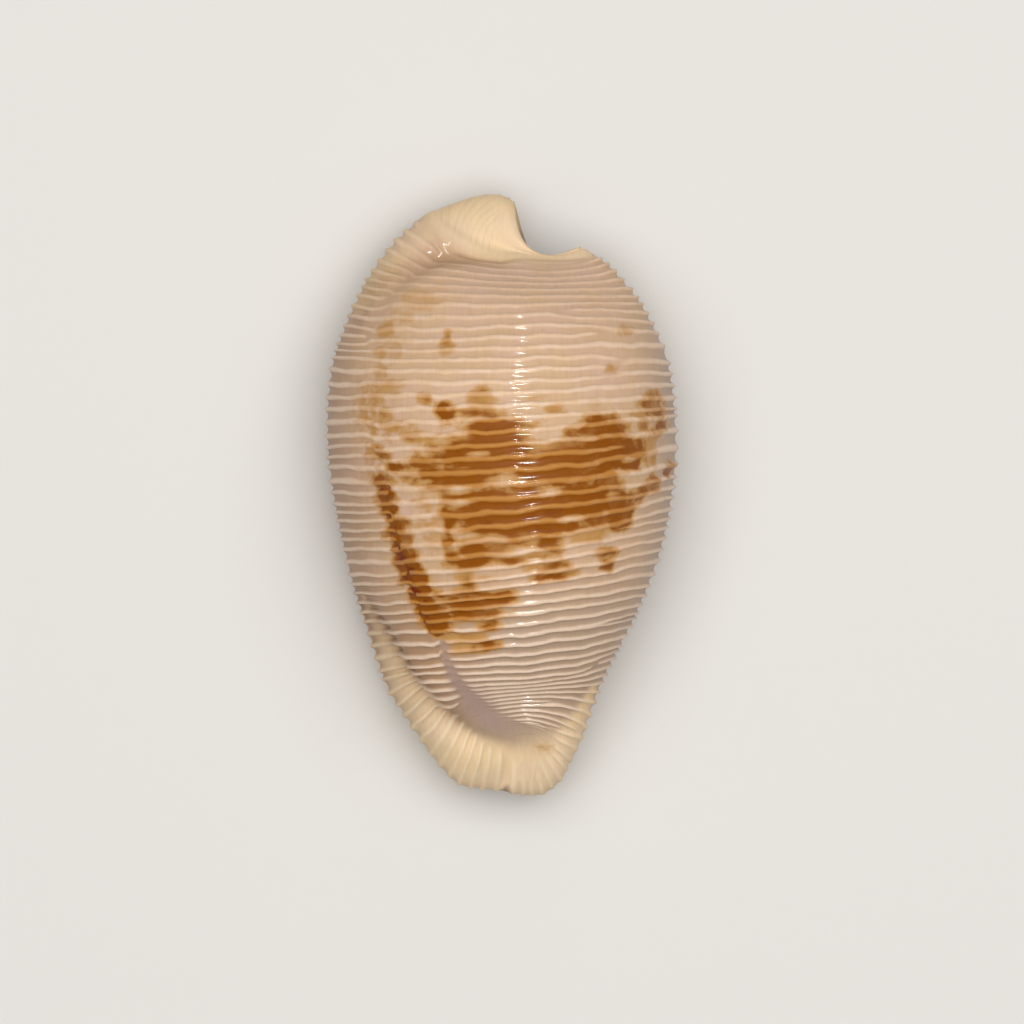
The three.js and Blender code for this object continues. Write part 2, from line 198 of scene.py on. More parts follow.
left_margin, right_margin = curve_through(LEFT_MARGIN), curve_through(RIGHT_MARGIN)
left_lip, right_lip = curve_through(LEFT_LIP), curve_through(RIGHT_LIP)
rib_bend, heights = curve_through(RIB_BEND), curve_through(HEIGHTS)
TABLES = [LEFT_MARGIN, RIGHT_MARGIN, LEFT_LIP, RIGHT_LIP, RIB_BEND, HEIGHTS]
print("tables:", len(TABLES), "with", sum(len(table) for table in TABLES), "rows")

# %% [markdown]
# ## The plain surface
# A Bezier patch or a lofted set of curves would give the dome, but not the base that rolls in
# under it. Here "around" goes round a section: -3 is the left lip's edge, -2 where the base
# touches the table, -1 the left margin, 0 the top of the back, and 1, 2 and 3 the same on the
# right.

# %% Outside
def outside(rib, around):
    rib, around = np.broadcast_arrays(np.asarray(rib, float), np.asarray(around, float))
    lx, ly = left_margin(rib)
    rx, ry = right_margin(rib)
    left_z, right_z, top_z, left_base, right_base, _ = heights(rib) * HEIGHT / 100
    # The back: a bent line seen from above, a squared-up half ellipse seen from the end
    x1, y1, x2, y2 = rib_bend(rib)
    angle = (np.clip(around, -1, 1) + 1) * np.pi / 2
    t = (1 - np.cos(angle)) / 2
    w0, w1, w2, w3 = (1 - t)**3, 3 * t * (1 - t)**2, 3 * t**2 * (1 - t), t**3
    foot = lerp(left_z, right_z, t)
    back = np.stack([
        (w0 * lx + w1 * x1 + w2 * x2 + w3 * rx) * UNIT,
        (w0 * ly + w1 * y1 + w2 * y2 + w3 * ry) * UNIT,
        foot + (top_z - foot) * np.maximum(np.sin(angle), 0) ** (2 / ROUNDNESS),
    ], -1)
    # The base: a quarter turn in from the margin, then a strip that rises to the lip
    on_left = around < 0
    lip = np.where(on_left, left_lip(rib), right_lip(rib))
    margin = np.where(on_left, (lx, ly), (rx, ry))
    margin_z = np.where(on_left, left_z, right_z)
    base_z = np.where(on_left, left_base, right_base)
    contact = np.where(on_left, LEFT_CONTACT, RIGHT_CONTACT)
    reach = np.abs(around)
    turn = np.clip(reach - 1, 0, 1) * np.pi / 2
    out = contact + (1 - contact) * np.maximum(np.cos(turn), 0) ** (2 / ROUNDNESS)
    out = np.where(reach <= 2, out, contact * (3 - reach))
    opening = np.clip((margin_z - base_z) / margin_z, 0, 1)
    z = np.where(reach <= 2, lerp(margin_z, base_z, np.sin(turn) ** (2 / ROUNDNESS)),
                 base_z + LIP_RISE * opening * np.maximum(reach - 2, 0)**3)
    base = np.stack([lerp(lip[0], margin[0], out) * UNIT,
                     lerp(lip[1], margin[1], out) * UNIT, z], -1)
    return np.where(reach[..., None] <= 1, back, base)


def outward(rib, around):
    r, s = np.clip(rib, FIRST + 0.4, LAST - 0.2), np.clip(around, -2.97, 2.97)
    along = outside(r + 0.05, s) - outside(r - 0.05, s)
    across = outside(r, s + 0.02) - outside(r, s - 0.02)
    normal = np.cross(along, across)
    return normal / np.linalg.norm(normal, axis=-1, keepdims=True)


print("middle of the back, mm:", outside(LAST / 2, 0).round(2))
print("it faces", outward(LAST / 2, 0).round(2))

# %% [markdown]
# ### The hollow
# A real cowrie is a rolled wall round an empty last whorl. Solidify would thicken the surface
# evenly and cut through itself at the narrow ends. So the hollow follows the outside at a share
# of the way in, and turns into a short canal at each end.

# %% Hollow and canals
# Each canal: which way it runs in, how deep in millimetres after one rib, and how much it widens
NOTCH_CANAL = ((-0.13, -0.97, 0), 0.35, 0)
FRONT_CANAL = ((-0.16, 0.98, 0.1), 0.9, 1.2)
# The ribs between which the canals turn into the hollow
NOTCH_TURNS, FRONT_TURNS = (0, 12), (45, 54)
# How many ribs a canal takes to widen, and how far its lower edges drop, over how many ribs
CANAL_WIDENS_OVER = 3
CANAL_EDGE_DROP, CANAL_EDGE_DROPS_OVER = 0.3, 6


def canal(end, inwards, depth, widening, around, ribs_in):
    """The rim of one end, carried inwards, for the short canal that leads in from it."""
    rim = outside(np.full_like(ribs_in, end), around)
    middle = (outside(end, -1) + outside(end, 1)) / 2
    wider = 1 + widening * np.minimum(ribs_in / CANAL_WIDENS_OVER, 1)
    rim[..., 0] = middle[0] + (rim[..., 0] - middle[0]) * wider
    past_margin = np.maximum(np.abs(around) - 1, 0)
    rim[..., 2] -= CANAL_EDGE_DROP * past_margin * np.minimum(ribs_in / CANAL_EDGE_DROPS_OVER, 1)
    far = RIM_WALL + depth * np.sqrt(ribs_in)
    return rim + far[..., None] * np.array(inwards)


def hollow(rib, around):
    """The inside of the wall, from the same two numbers as the outside."""
    middle = (outside(rib, 0) + (outside(rib, -1) + outside(rib, 1)) / 2) / 2
    middle[..., 2] = heights(rib)[5] * HEIGHT / 100
    wall = lerp(outside(rib, around), middle, WALL)
    near_notch = 1 - smooth(rib, *NOTCH_TURNS)
    wall = lerp(wall, canal(FIRST, *NOTCH_CANAL, around, rib - FIRST), near_notch[..., None])
    near_front = smooth(rib, *FRONT_TURNS)
    return lerp(wall, canal(LAST, *FRONT_CANAL, around, LAST - rib), near_front[..., None])


wall_on_top = np.linalg.norm(outside(LAST / 2, 0) - hollow(np.array(LAST / 2), 0))
print("wall on top of the back, mm:", wall_on_top.round(2))

# %% [markdown]
# ## Ribs, forks and furrows
# The ribs of the back, of the left side and of the right side don't match one to one. In places
# one has more of them than the next, so they fork or run out, and at the front they fan out round
# the canal. Each zone is one wave, written as a point on a circle, and the zones are mixed. Where
# two waves cancel, a rib forks, as on the real shell.

# %% How tall and how sharp the ribs are
# Rib heights in millimetres: along the back as [rib, height], then on the left side and elsewhere
BACK_RIB = [(0, 0.06), (8, 0.08), (16, 0.12), (26, 0.15), (36, 0.19)]
LEFT_RIB, MARGIN_RIB, FAN_RIB = 0.22, 0.23, 0.12
BASE_RIB, BEAK_LINE, TOOTH = 0.16, 0.018, 0.16
# Crests are narrow and the flats between them wide: how sharply a rib rises on the back, on the
# front left, and at the margins and the fan, where it ends as a rounded tooth
BACK_SHARP, FRONT_SHARP, TOOTH_SHARP = 2.0, 1.4, 1.2
# The beak's lines are rounded grooves
BEAK_SHARP = 0.9
print("ribs, mm: back", BACK_RIB[0][1], "to", BACK_RIB[-1][1], "margins", MARGIN_RIB)

# %% [markdown]
# ### Teeth of the margins
# Each rib ends at the edge as a small tooth. Both margins have nearly as many teeth as the back
# has ribs, but they are spaced otherwise, so each tooth is placed on its own.

# %% Teeth of the margins
# The rib number of the back at which each tooth of a margin stands
LEFT_TEETH = [
    0.8, 1.4, 2.1, 2.9, 3.7, 4.4, 5.1, 5.7, 6.4, 7.3, 8.0, 8.8, 9.5, 10.4, 11.1, 11.9, 13.2, 14.2,
    15.1, 15.9, 16.8, 17.7, 18.5, 19.5, 20.5, 21.6, 22.3, 23.1, 23.6, 24.2, 24.9, 25.5, 26.2, 27.1,
    28.0, 28.7, 29.6, 30.8, 31.9, 32.8, 33.9, 35.1, 36.4, 37.7, 38.6, 40.1, 41.5, 42.8, 44.3, 45.9,
    47.3, 48.7, 50.2, 51.6, 53.1, 54.4, 55.7,
]
RIGHT_TEETH = [
    0, 1.1, 2.1, 3.1, 4.1, 5.1, 6.0, 6.7, 7.5, 8.4, 9.4, 10.8, 12.5, 13.5, 14.7, 16.0, 17.1, 17.7,
    19.1, 20.8, 22.2, 23.2, 24.1, 24.9, 25.8, 26.4, 27.1, 27.9, 28.9, 29.9, 31.1, 32.2, 33.0, 34.0,
    34.8, 35.3, 36.1, 37.1, 38.1, 38.7, 39.5, 40.6, 41.8, 42.9, 44.0, 45.2, 46.6, 48.0, 49.2, 50.4,
    51.6, 52.6, 53.7, 54.3, 54.9, 55.3, 55.6,
]
print("teeth:", len(LEFT_TEETH), "on the left,", len(RIGHT_TEETH), "on the right")

# %% [markdown]
# ### Fan, beak lines and seam
# At the canal the ribs spread like a fan, on the beak they are faint lines, and along the seam
# the left side's ribs give way to those of the back.

# %% Fan, beak lines and seam
# The fan round the canal: two centres, and on each side the angles of its ribs in degrees
FAN_LEFT, FAN_RIGHT = (3.4, -22.3), (3.4, -37.5)
FAN_LEFT_TEETH = [-0.8, 3.1, 9.2, 14.0, 18.1, 22.4, 26.3, 31.2, 36.4, 42.3, 48.6, 54.5]
FAN_RIGHT_TEETH = [0.8, 7.7, 16.0, 24.8, 33.5, 43.2, 51.5, 63.0, 74.2, 84.6, 95.9]
# The fine lines of the beak: where each meets the spire furrow, and how much it bends to the
# right on its way up, from the height of the furrow
BEAK_FURROW_Y = 40.6
BEAK_BEND = [(-9.2, 0.0), (-8.0, 0.0044), (-6.5, 0.0062), (-5.5, 0.0084), (-4.2, 0.0113),
             (-2.9, 0.0128), (-2.1, 0.019)]
# Where the left side's ribs give way to those of the back, along the shell
SEAM = [
    (-10.2, 40.1), (-15.1, 37.3), (-19.3, 33.2), (-22.1, 27.4), (-22.6, 15.8), (-20.9, 7.5),
    (-18.8, 4.2), (-18.3, 0.9), (-18.5, -1.2), (-17.5, -6.0), (-15.8, -11.5), (-13.8, -17.8),
    (-11.3, -23.9), (-8.9, -28.9), (-6.0, -33.0),
]
print("fan:", len(FAN_LEFT_TEETH) + len(FAN_RIGHT_TEETH), "ribs, beak:", len(BEAK_BEND), "lines")

# %% [markdown]
# ### Furrows, crease and pits
# The spire is sunken, a furrow lies inside the raised rim, and the flats between ribs sink into
# pits beside both. Sculpting could press them in, but a path with a depth keeps them where they
# belong when the ribs change.

# %% Furrows, crease and pits
# Paths of places with a depth in millimetres: the sunken spire, the furrow inside the raised rim,
# and the crease behind the notch
SPIRE_FURROW = [(-0.2, 39.5, 0.22), (-5.2, 40.3, 0.42), (-10.2, 40.1, 0.45), (-15.1, 37.3, 0.3),
                (-19.3, 33.2, 0.2), (-22.1, 27.4, 0.08)]
RIM_FURROW = [(-24.4, -13.0, 0.0), (-23.1, -17.3, 0.12), (-20.1, -23.9, 0.42), (-16.8, -30.5, 0.6),
              (-11.5, -36.3, 0.6), (-5.2, -40.5, 0.45), (1.4, -42.5, 0.25), (7.2, -41.8, 0)]
CREASE = [(-9.8, 41.2, 0.0), (-6.5, 40.9, 0.1), (-3.5, 40.0, 0.1), (-0.2, 39.3, 0.07),
          (4.7, 39.2, 0.07), (9.7, 39.0, 0.07), (13.8, 39.3, 0.04)]
# How far each spreads to either side, in hundredths of the length
FURROW_WIDTH, CREASE_WIDTH, PIT_WIDTH = 1.8, 0.35, 1.1
# Where the flats between the ribs sink into pits: the left shoulder, and inside the raised rim
PITS = [
    [(-10.9, 39.9, 0.05), (-13.5, 40.0, 0.1), (-16.3, 38.8, 0.15), (-19.3, 36.8, 0.18),
     (-22.0, 33.6, 0.17), (-23.6, 30.2, 0.12), (-24.8, 26.5, 0.04)],
    [(-23.4, -15.0, 0.0), (-22.4, -18.0, 0.1), (-21.2, -21.3, 0.18),
     (-19.6, -24.6, 0.24), (-17.6, -27.8, 0.28), (-15.2, -31.0, 0.3), (-12.6, -34.1, 0.26),
     (-9.9, -36.6, 0.16), (-7.7, -37.6, 0.0)],
]
print("deepest furrow, mm:", max(row[2] for row in SPIRE_FURROW + RIM_FURROW))

# %% [markdown]
# ### Smooth places
# Where later enamel has run over the ribs they vanish: the mauve strip, the callus at both ends
# and the seam.

# %% Smooth places
# Smooth places, as paths with a half width: the mauve strip, the callus inside the fan, the
# callus round the notch and the lower seam
SULCUS = [
    (-9.7, -23.9, 0.5), (-9.0, -27.2, 0.7), (-7.7, -30.2, 1.0), (-6.0, -32.7, 1.3),
    (-3.9, -35.0, 1.8), (-1.6, -37.2, 2.1), (1.1, -38.5, 2.0), (3.9, -39.5, 1.5), (6.7, -40.1, 1.0),
]
INNER_CALLUS = [(-2.7, -40.8, 1.2), (2.2, -42.1, 1.4), (7.2, -41.3, 1.4)]
NOTCH_CALLUS = [(3.1, 46.4, 1.2), (3.4, 42.3, 2.8), (6.4, 39.8, 2.8), (12.2, 40.3, 2.2)]
LOWER_SEAM = [
    (-18.3, 0.9, 0.15), (-18.5, -1.2, 0.2), (-17.5, -6.0, 0.22), (-15.8, -11.5, 0.25),
    (-13.8, -17.8, 0.3), (-11.3, -23.9, 0.5),
]
print("mauve strip, widest half width, mm:", round(max(row[2] for row in SULCUS) * UNIT, 2))

# %% [markdown]
# ### Two drawing tools
# One makes a soft band along a path. The other makes a smooth unevenness, as nothing that grows
# runs quite true.

# %% Bands and unevenness
def along_path(x, y, path):
    """For each stretch of a path of (x, y, value): how far off every point lies, and the value."""
    for (ax, ay, a_value), (bx, by, b_value) in zip(path, path[1:]):
        span = (bx - ax)**2 + (by - ay)**2
        t = np.clip(((x - ax) * (bx - ax) + (y - ay) * (by - ay)) / span, 0, 1)
        yield np.hypot(x - lerp(ax, bx, t), y - lerp(ay, by, t)), lerp(a_value, b_value, t)


def near_path(x, y, path, width=None, power=4):
    """A soft band along a path of (x, y, value). With a width the value is the band's height;
    without one it is the band's half width and the height is 1."""
    found = np.zeros_like(x)
    for gap, value in along_path(x, y, path):
        if width:
            found = np.maximum(found, value * np.exp(-(gap / width)**2))
        else:
            found = np.maximum(found, np.exp(-(gap / value)**power))
    return found


def waver(x, y, size, seed):
    """A smooth unevenness, mostly between -1 and 1 and never past 2, with bumps of a given size."""
    total = np.zeros_like(x)
    rng = np.random.default_rng(seed)
    for _ in range(6):
        turn, phase = rng.uniform(0, 2 * np.pi, 2)
        scale = rng.uniform(0.7, 1.6) / size * 2 * np.pi
        total += np.sin((x * np.cos(turn) + y * np.sin(turn)) * scale + phase)
    return total / 3


sample = waver(*np.mgrid[-30:30:61j, -50:50:101j], 9, 1)
print("unevenness from", sample.min().round(2), "to", sample.max().round(2))

# %% [markdown]
# ### The fan
# Round the canal a rib is a ray, so it is found by its angle about a centre. A spin of one rib
# would space them evenly, and the real ones aren't.

# %% The fan round the canal
def fan(x, y):
    """The ribs round the canal: their wave, where they hold, and how tall they are."""
    on_left = x < FAN_LEFT[0]
    left_angle = np.degrees(np.arctan2(FAN_LEFT[0] - x, FAN_LEFT[1] - y))
    right_angle = np.degrees(np.arctan2(x - FAN_RIGHT[0], FAN_RIGHT[1] - y))
    left_number = np.interp(left_angle, FAN_LEFT_TEETH, 59 - np.arange(12))
    right_number = np.interp(right_angle, FAN_RIGHT_TEETH, 59 + np.arange(11))
    wave = np.where(on_left, np.exp(2j * np.pi * left_number), np.exp(-2j * np.pi * right_number))
    left_start = np.interp(left_angle, [0, 14, 37, 50], [20.7, 19.2, 17, 16.5])
    right_start = np.interp(right_angle, [0, 17, 41, 67, 90], [5.5, 6.1, 5.8, 5.5, 5.5])
    out = np.where(on_left, np.hypot(x - FAN_LEFT[0], y - FAN_LEFT[1]) - left_start,
                   np.hypot(x - FAN_RIGHT[0], y - FAN_RIGHT[1]) - right_start)
    held = np.where(on_left, 1 - smooth(left_angle, 38, 45), 1 - smooth(right_angle, 70, 88))
    held = held * smooth(-y, 30, 34) * smooth(out, -2.5, -0.5)
    return wave, held, smooth(out, -0.5, 2.5)


print("share of the fan at the front rim:", fan(np.array(-10.0), np.array(-44.0))[1].round(2))

# %% [markdown]
# ### The beak's lines
# They start evenly at the furrow and bend over to the right as they climb, so each point is
# numbered by the two lines that it lies between.

# %% The beak's lines
def beak_number(x, y):
    """Which of the beak's lines a point lies on, found between the two lines either side of it."""
    rise = np.maximum(y - BEAK_FURROW_Y, 0)**3
    number = np.minimum(x - BEAK_BEND[0][0] - BEAK_BEND[0][1] * rise, 0) + BEAK_BEND[0][0]
    for (a, a_bend), (b, b_bend) in zip(BEAK_BEND, BEAK_BEND[1:]):
        start, end = a + a_bend * rise, b + b_bend * rise
        number = number + (b - a) * np.clip((x - start) / (end - start), 0, 1)
    last, last_bend = BEAK_BEND[-1]
    return number + np.maximum(x - last - last_bend * rise, 0)


print("beak line at its foot:", beak_number(np.array(-5.5), np.array(BEAK_FURROW_Y)).round(2))

# %% [markdown]
# ### All ribs as one wave
# Adding the zones' heights would blur ribs where they meet. Mixing them as points on a circle
# makes each rib slide over to its neighbour, or fork.

# %% One wave for every rib
def rib_wave(rib, around, x, y):
    """The ribs as one complex wave: its angle is where a point lies between two crests."""
    uneven = 0.07 * waver(x, y, 9, 1) + 0.05 * waver(x, y, 3.5, 2)
    left_number = np.interp(rib, [FIRST, 0, *LEFT_TEETH], [FIRST, 0, *range(1, 58)])
    right_number = np.interp(rib, [FIRST, *RIGHT_TEETH], [FIRST, *range(57)])
    seam_x = np.interp(-y, [-row[1] for row in SEAM], [row[0] for row in SEAM])
    sharp = lerp(1.8, 0.4, smooth(-y, -8, -2))
    left = smooth((seam_x - x) / sharp, -1, 1) * smooth(-around, -0.2, 0.1)
    left = np.where(rib < 0, 0, left)
    fork_at = 0.4 + 0.22 * waver(rib, np.zeros_like(rib), 6, 3)
    right = smooth(around, fork_at - 0.28, fork_at + 0.28)
    circle = 2j * np.pi
    wave = lerp(np.exp(circle * (rib + uneven)), np.exp(circle * (right_number + uneven)), right)
    wave = lerp(wave, np.exp(circle * (left_number + uneven)), left)
    wave = np.where(rib < 0, np.exp(circle * (beak_number(x, y) + uneven)), wave)
    fan_wave, held, fan_height = fan(x, y)
    return lerp(wave, fan_wave, held), left, held, fan_height


line = np.linspace(0.5, LAST - 0.5, 4001)
for name, at in (("left margin", -0.99), ("middle", 0.0), ("right margin", 0.99)):
    line_x, line_y = (outside(line, at) / UNIT)[:, :2].T
    rise = np.diff(np.angle(rib_wave(line, np.full_like(line, at), line_x, line_y)[0])**2)
    print("crests along the", name, np.sum((rise[:-1] < 0) & (rise[1:] >= 0)))

# %% [markdown]
# ### Relief
# Low ribs could be a bump in the finish, but these show in the outline and cast shadows, so they
# are in the mesh. Furrows, pits and teeth are added to them in millimetres.

# %% Relief in millimetres
def relief(rib, around, point):
    """How far the surface stands out, the wave, and how strong the ribs are there."""
    x, y = point[..., 0] / UNIT, point[..., 1] / UNIT
    reach = np.abs(around)
    on_back = reach < 1
    spire = np.where(on_back, near_path(x, y, SPIRE_FURROW, FURROW_WIDTH), 0)
    rim = np.where(on_back, near_path(x, y, RIM_FURROW, FURROW_WIDTH), 0)
    crease = np.where(on_back, near_path(x, y, CREASE, CREASE_WIDTH), 0)
    bare = np.maximum.reduce([near_path(x, y, p)
                              for p in (SULCUS, INNER_CALLUS, NOTCH_CALLUS, LOWER_SEAM)])
    bare = np.where(on_back, bare, 0)
    margin_share = 1 - smooth(np.abs(reach - 1), 0, 0.45)
    wave, left, held, fan_height = rib_wave(rib, around, x, y)
    back_rib = np.interp(rib, [row[0] for row in BACK_RIB], [row[1] for row in BACK_RIB])
    plain = np.where(on_back, lerp(back_rib, LEFT_RIB, left * smooth(-y, -10, 0)), BASE_RIB)
    pits = np.where(on_back, np.maximum.reduce([near_path(x, y, p, PIT_WIDTH) for p in PITS]), 0)
    mouth_ends = lerp(1, smooth(rib, 3, 9) * (1 - smooth(rib, 47, 52)), smooth(reach, 1.5, 2.2))
    plain = plain * lerp(smooth(rib, 0, 1.5) * (1 - 0.8 * smooth(rib, 49, 54)), 1, reach >= 1)
    tall = lerp(plain, MARGIN_RIB * smooth(rib, 0, 1.5), margin_share)
    tall = lerp(tall, FAN_RIB * fan_height, held)
    calm = 1 - 0.35 * np.clip(spire * 2, 0, 1)
    tall = tall * mouth_ends * calm * (1 - bare) * np.clip(np.abs(wave) / 0.35, 0, 1)
    # The beak's lines are fine grooves, so they count as ribs of less than no height
    beak = on_back & (rib < 0)
    line = smooth(rib, -11.9, -11.2) * (1 - smooth(rib, -1.2, -0.1)) * (1 - smooth(x, -2.5, 2.5))
    tall = np.where(beak, -BEAK_LINE * line, tall)
    front_left = np.maximum(smooth(rib, 24, 36), left * smooth(-y, -10, 0))
    sharp = lerp(BACK_SHARP, FRONT_SHARP, front_left)
    sharp = lerp(sharp, TOOTH_SHARP, np.maximum(margin_share, held))
    sharp = np.where(beak, BEAK_SHARP, sharp)
    crest = np.exp(sharp * (np.cos(np.angle(wave)) - 1))
    level = np.where(beak, 0, np.exp(-sharp) * np.i0(sharp))
    pits = pits * (1 - np.where(beak, 0, crest)) * (1 - bare) * (rib > 0)
    teeth = smooth(reach, 2.4, 3) * mouth_ends * TOOTH * np.cos(np.pi * rib)
    return tall * (crest - level) + teeth - spire - rim - crease - pits, wave, tall


line = np.linspace(20, 22, 201)
across = relief(line, line * 0, outside(line, 0))[0]
print("rib height on top of the back, mm:", (across.max() - across.min()).round(3))

# %% [markdown]
# ## Colour fields
# The brown blotches lie in the enamel, so they are only colour. Each is a soft oval that follows
# the ribs it lies between: place, half width, half height and tone (1 is deep brown). An image
# could be painted instead, but it would stretch on the sides. Gaps are let back out of the
# blotches.

# %% Blotches
MARKS = [
    (-3.2, 15.8, 2.2, 1.4, 0.55), (-4.2, 13.3, 3.6, 1.1, 0.75), (-9.4, 13.5, 1.8, 1.5, 1),
    (-0.2, 11.7, 5.3, 1, 0.9), (-1.6, 10.3, 4.3, 1.6, 0.95), (-8.2, 9.4, 2.3, 0.85, 0.6),
    (-3.9, 8.4, 5.3, 1.9, 0.95), (-10.5, 7.5, 2.3, 1.1, 0.7), (0.7, 7.2, 4.3, 2.4, 0.95),
    (-5.2, 5.5, 7.6, 1.5, 0.95), (-12.7, 5.2, 2.6, 1.1, 0.8), (-0.2, 5, 5.6, 1.6, 0.95),
    (-7.7, 3.4, 7.9, 1.4, 0.95), (-5.2, 1.7, 7, 1.1, 0.9), (3.1, 1.4, 3.3, 1.4, 0.85),
    (-4.4, -0.7, 7.9, 1.4, 0.95), (-10.2, 0.9, 1.7, 1.6, 0.8), (2.2, -1.2, 4.3, 1.5, 0.95),
    (-3.6, -2.7, 7, 1.9, 0.95), (-9.2, -4.1, 1.5, 2, 0.9), (-0.2, -4.4, 6, 1.9, 0.95),
    (-9, -7, 1, 2.1, 0.85), (-1.9, -6, 7, 1.1, 0.9), (-3.2, -7.4, 4, 1.1, 0.5),
    (3.1, -6.9, 3, 1.4, 0.7), (-4.9, -9.2, 2.8, 1.6, 0.9), (-0.2, -8.7, 2.6, 1.5, 0.6),
    (-4.9, -11.2, 4.3, 1.4, 0.85), (-7.7, -10.7, 2, 1.5, 0.7), (1.7, -10.7, 2.6, 1, 0.7),
    (-5.7, -13.5, 1.5, 1, 0.5), (-5.4, -14.8, 1.3, 1.2, 0.8), (-5.2, -16.5, 3.6, 0.85, 0.7),
    (-3.9, -17.6, 5.6, 1.4, 0.85), (-0.2, -17, 3, 1.4, 0.8), (-6.5, -18.3, 3, 1.1, 0.85),
    (-5.5, -20.1, 6, 1.2, 0.85), (-10.2, -20, 2, 1.4, 0.8), (-10.2, -22.1, 1.7, 1.6, 0.95),
    (-2.2, -21.6, 1.8, 1, 0.85), (-6, -23.8, 2.6, 1, 0.5), (-2.6, -24.9, 2.3, 1.1, 0.85),
    (-6.5, -25.6, 2.3, 0.9, 0.4), (-17.5, 4.6, 1.5, 1.1, 0.85), (-19.8, 1.9, 1.6, 1.0, 0.85),
    (-19.2, -0.1, 1.6, 0.9, 0.9), (-19.1, -2.1, 1.6, 1.2, 0.9), (-17.4, -4.1, 1.5, 1.0, 0.9),
    (-17.7, -5.9, 1.8, 1.0, 0.9), (-16.7, -7.5, 1.4, 1.3, 0.9), (-16.2, -9.7, 1.6, 1.3, 0.95),
    (-15, -11.7, 2, 1.5, 0.95), (-14.2, -13.3, 2.5, 1.4, 0.95), (-12.7, -15.3, 2.3, 1.5, 0.95),
    (-13.2, -17, 1.7, 1.5, 0.95), (-11.7, -19, 1.8, 1.6, 0.95), (-11.2, -20.9, 2, 1.4, 1),
    (-16.3, -4.7, 1.5, 1.1, 0.7), (-16, -7.4, 1.5, 1.9, 0.65), (-15.5, -9.5, 1.3, 1.6, 0.6),
    (-20.1, 6.7, 2.0, 1.0, 0.65), (-20.8, 8, 1.3, 1, 0.5), (16.3, 12.3, 2.6, 1.5, 0.8),
    (15.3, 10.7, 4.5, 1.4, 0.85), (18, 9.9, 3, 1.5, 0.8), (9.7, 8.2, 6, 1.1, 0.55),
    (17.1, 8, 6.6, 1.6, 0.85), (9.7, 6.5, 8.3, 1.6, 0.85), (20, 6.7, 3.6, 2, 0.95),
    (9.7, 4.6, 8.3, 1.9, 0.9), (21.6, 5, 2, 1.5, 0.95), (12.2, 2.6, 6.6, 1.6, 0.85),
    (17.6, 1.9, 2.3, 2.4, 0.8), (4.7, 2.9, 4.3, 1.9, 0.8), (10.5, -0.7, 8.3, 1.9, 0.9),
    (17.1, -0.2, 3, 2.4, 0.85), (9.7, -2.9, 8.3, 1.9, 0.95), (19.6, -2.4, 2.6, 2.4, 0.85),
    (19.6, -4.2, 2, 1.9, 0.85), (4.7, -4.1, 4.3, 1.5, 0.9), (15.5, -4.1, 3, 1.4, 0.75),
    (8, -5.5, 6.3, 1.4, 0.95), (3.9, -5.2, 3.3, 1.4, 0.95), (24.9, 2.6, 0.8, 1.9, 0.6),
    (23.4, 1.1, 1.5, 1.1, 0.8), (21.9, -0.1, 1.3, 1, 0.7), (25.1, 5.5, 0.7, 2, 0.5),
    (24.6, 8.2, 0.8, 1.7, 0.35), (25.4, 10.5, 0.7, 1.4, 0.6), (7.7, -8, 2.3, 1.4, 0.9),
    (6.4, -10, 2.3, 0.95, 0.8), (8, -11.5, 3.1, 0.85, 0.75), (8.2, -13.3, 3.1, 1, 0.95),
    (17.3, -9.2, 1.8, 1.1, 0.75), (17.3, -11.8, 1.2, 1.4, 0.8), (14.3, -6.2, 2, 0.7, 0.35),
    (14.3, -7.5, 2.3, 0.7, 0.45), (8.5, 14.2, 1.5, 0.9, 0.45), (5.7, 16.1, 1.7, 0.7, 0.3),
    (24.9, 16.6, 1.2, 1.1, 0.6), (24.3, 15.1, 2.2, 1.4, 0.65), (23.3, 13.5, 1.3, 0.9, 0.5),
    (25.7, 13.5, 1.3, 1, 0.7), (26.7, 11.8, 1.2, 1.1, 0.75), (23.4, 11.7, 0.8, 1.2, 0.55),
    (27.6, 3.9, 0.8, 1.1, 0.9), (-18.8, 18.3, 3, 1, 0.35), (-18.8, 16.8, 2, 0.9, 0.3),
    (-12.5, 16.1, 1, 1, 0.6), (-21.3, 14, 1, 0.95, 0.55), (-17.6, 11.5, 2.8, 0.9, 0.45),
    (-14.7, 9.5, 1.7, 1.1, 0.6), (-19.1, 27.4, 1.5, 1.4, 0.35), (-19.8, 23.3, 1.3, 1.4, 0.28),
    (-9, 25.6, 1, 1.6, 0.52), (-9.2, 23.8, 1.3, 0.9, 0.28), (-13.2, 16.5, 1, 0.9, 0.35),
    (18, 20.5, 1, 0.8, 0.3), (-10.3, -17, 0.35, 0.3, 1.5), (-20.1, 13.3, 1.3, 2.2, 0.2),
    (-17.5, 23.8, 1.2, 1.9, 0.2), (-20, 20.4, 1.2, 1.7, 0.25), (20.3, 27.4, 1.3, 1, 0.3),
    (15.5, 15, 1.7, 0.9, 0.2), (-16, 29.4, 2, 1.2, 0.2), (-13.5, 32.4, 4, 2.2, 0.18),
]
print("blotches:", len(MARKS))

# %% [markdown]
# ### Mantle line, gaps and washes
# The mantle is the skin that lays the enamel down, and it leaves a dark edge. The washes are thin
# tan pigment, too soft to have an edge.

# %% Mantle line, gaps and washes
# The edge of the mantle: a dark red-brown line down the left, as [x, y, half width]
MANTLE_LINE = [
    (-20.0, 2.5, 0.3), (-19.0, 0.0, 0.5), (-18.0, -3.5, 0.7), (-17.1, -7.0, 0.9),
    (-16.1, -10.5, 1.0), (-14.9, -13.5, 1.0), (-13.4, -16.8, 0.9), (-12.0, -19.8, 0.8),
    (-10.8, -22.3, 0.7),
]
MANTLE_TONE = 1.35
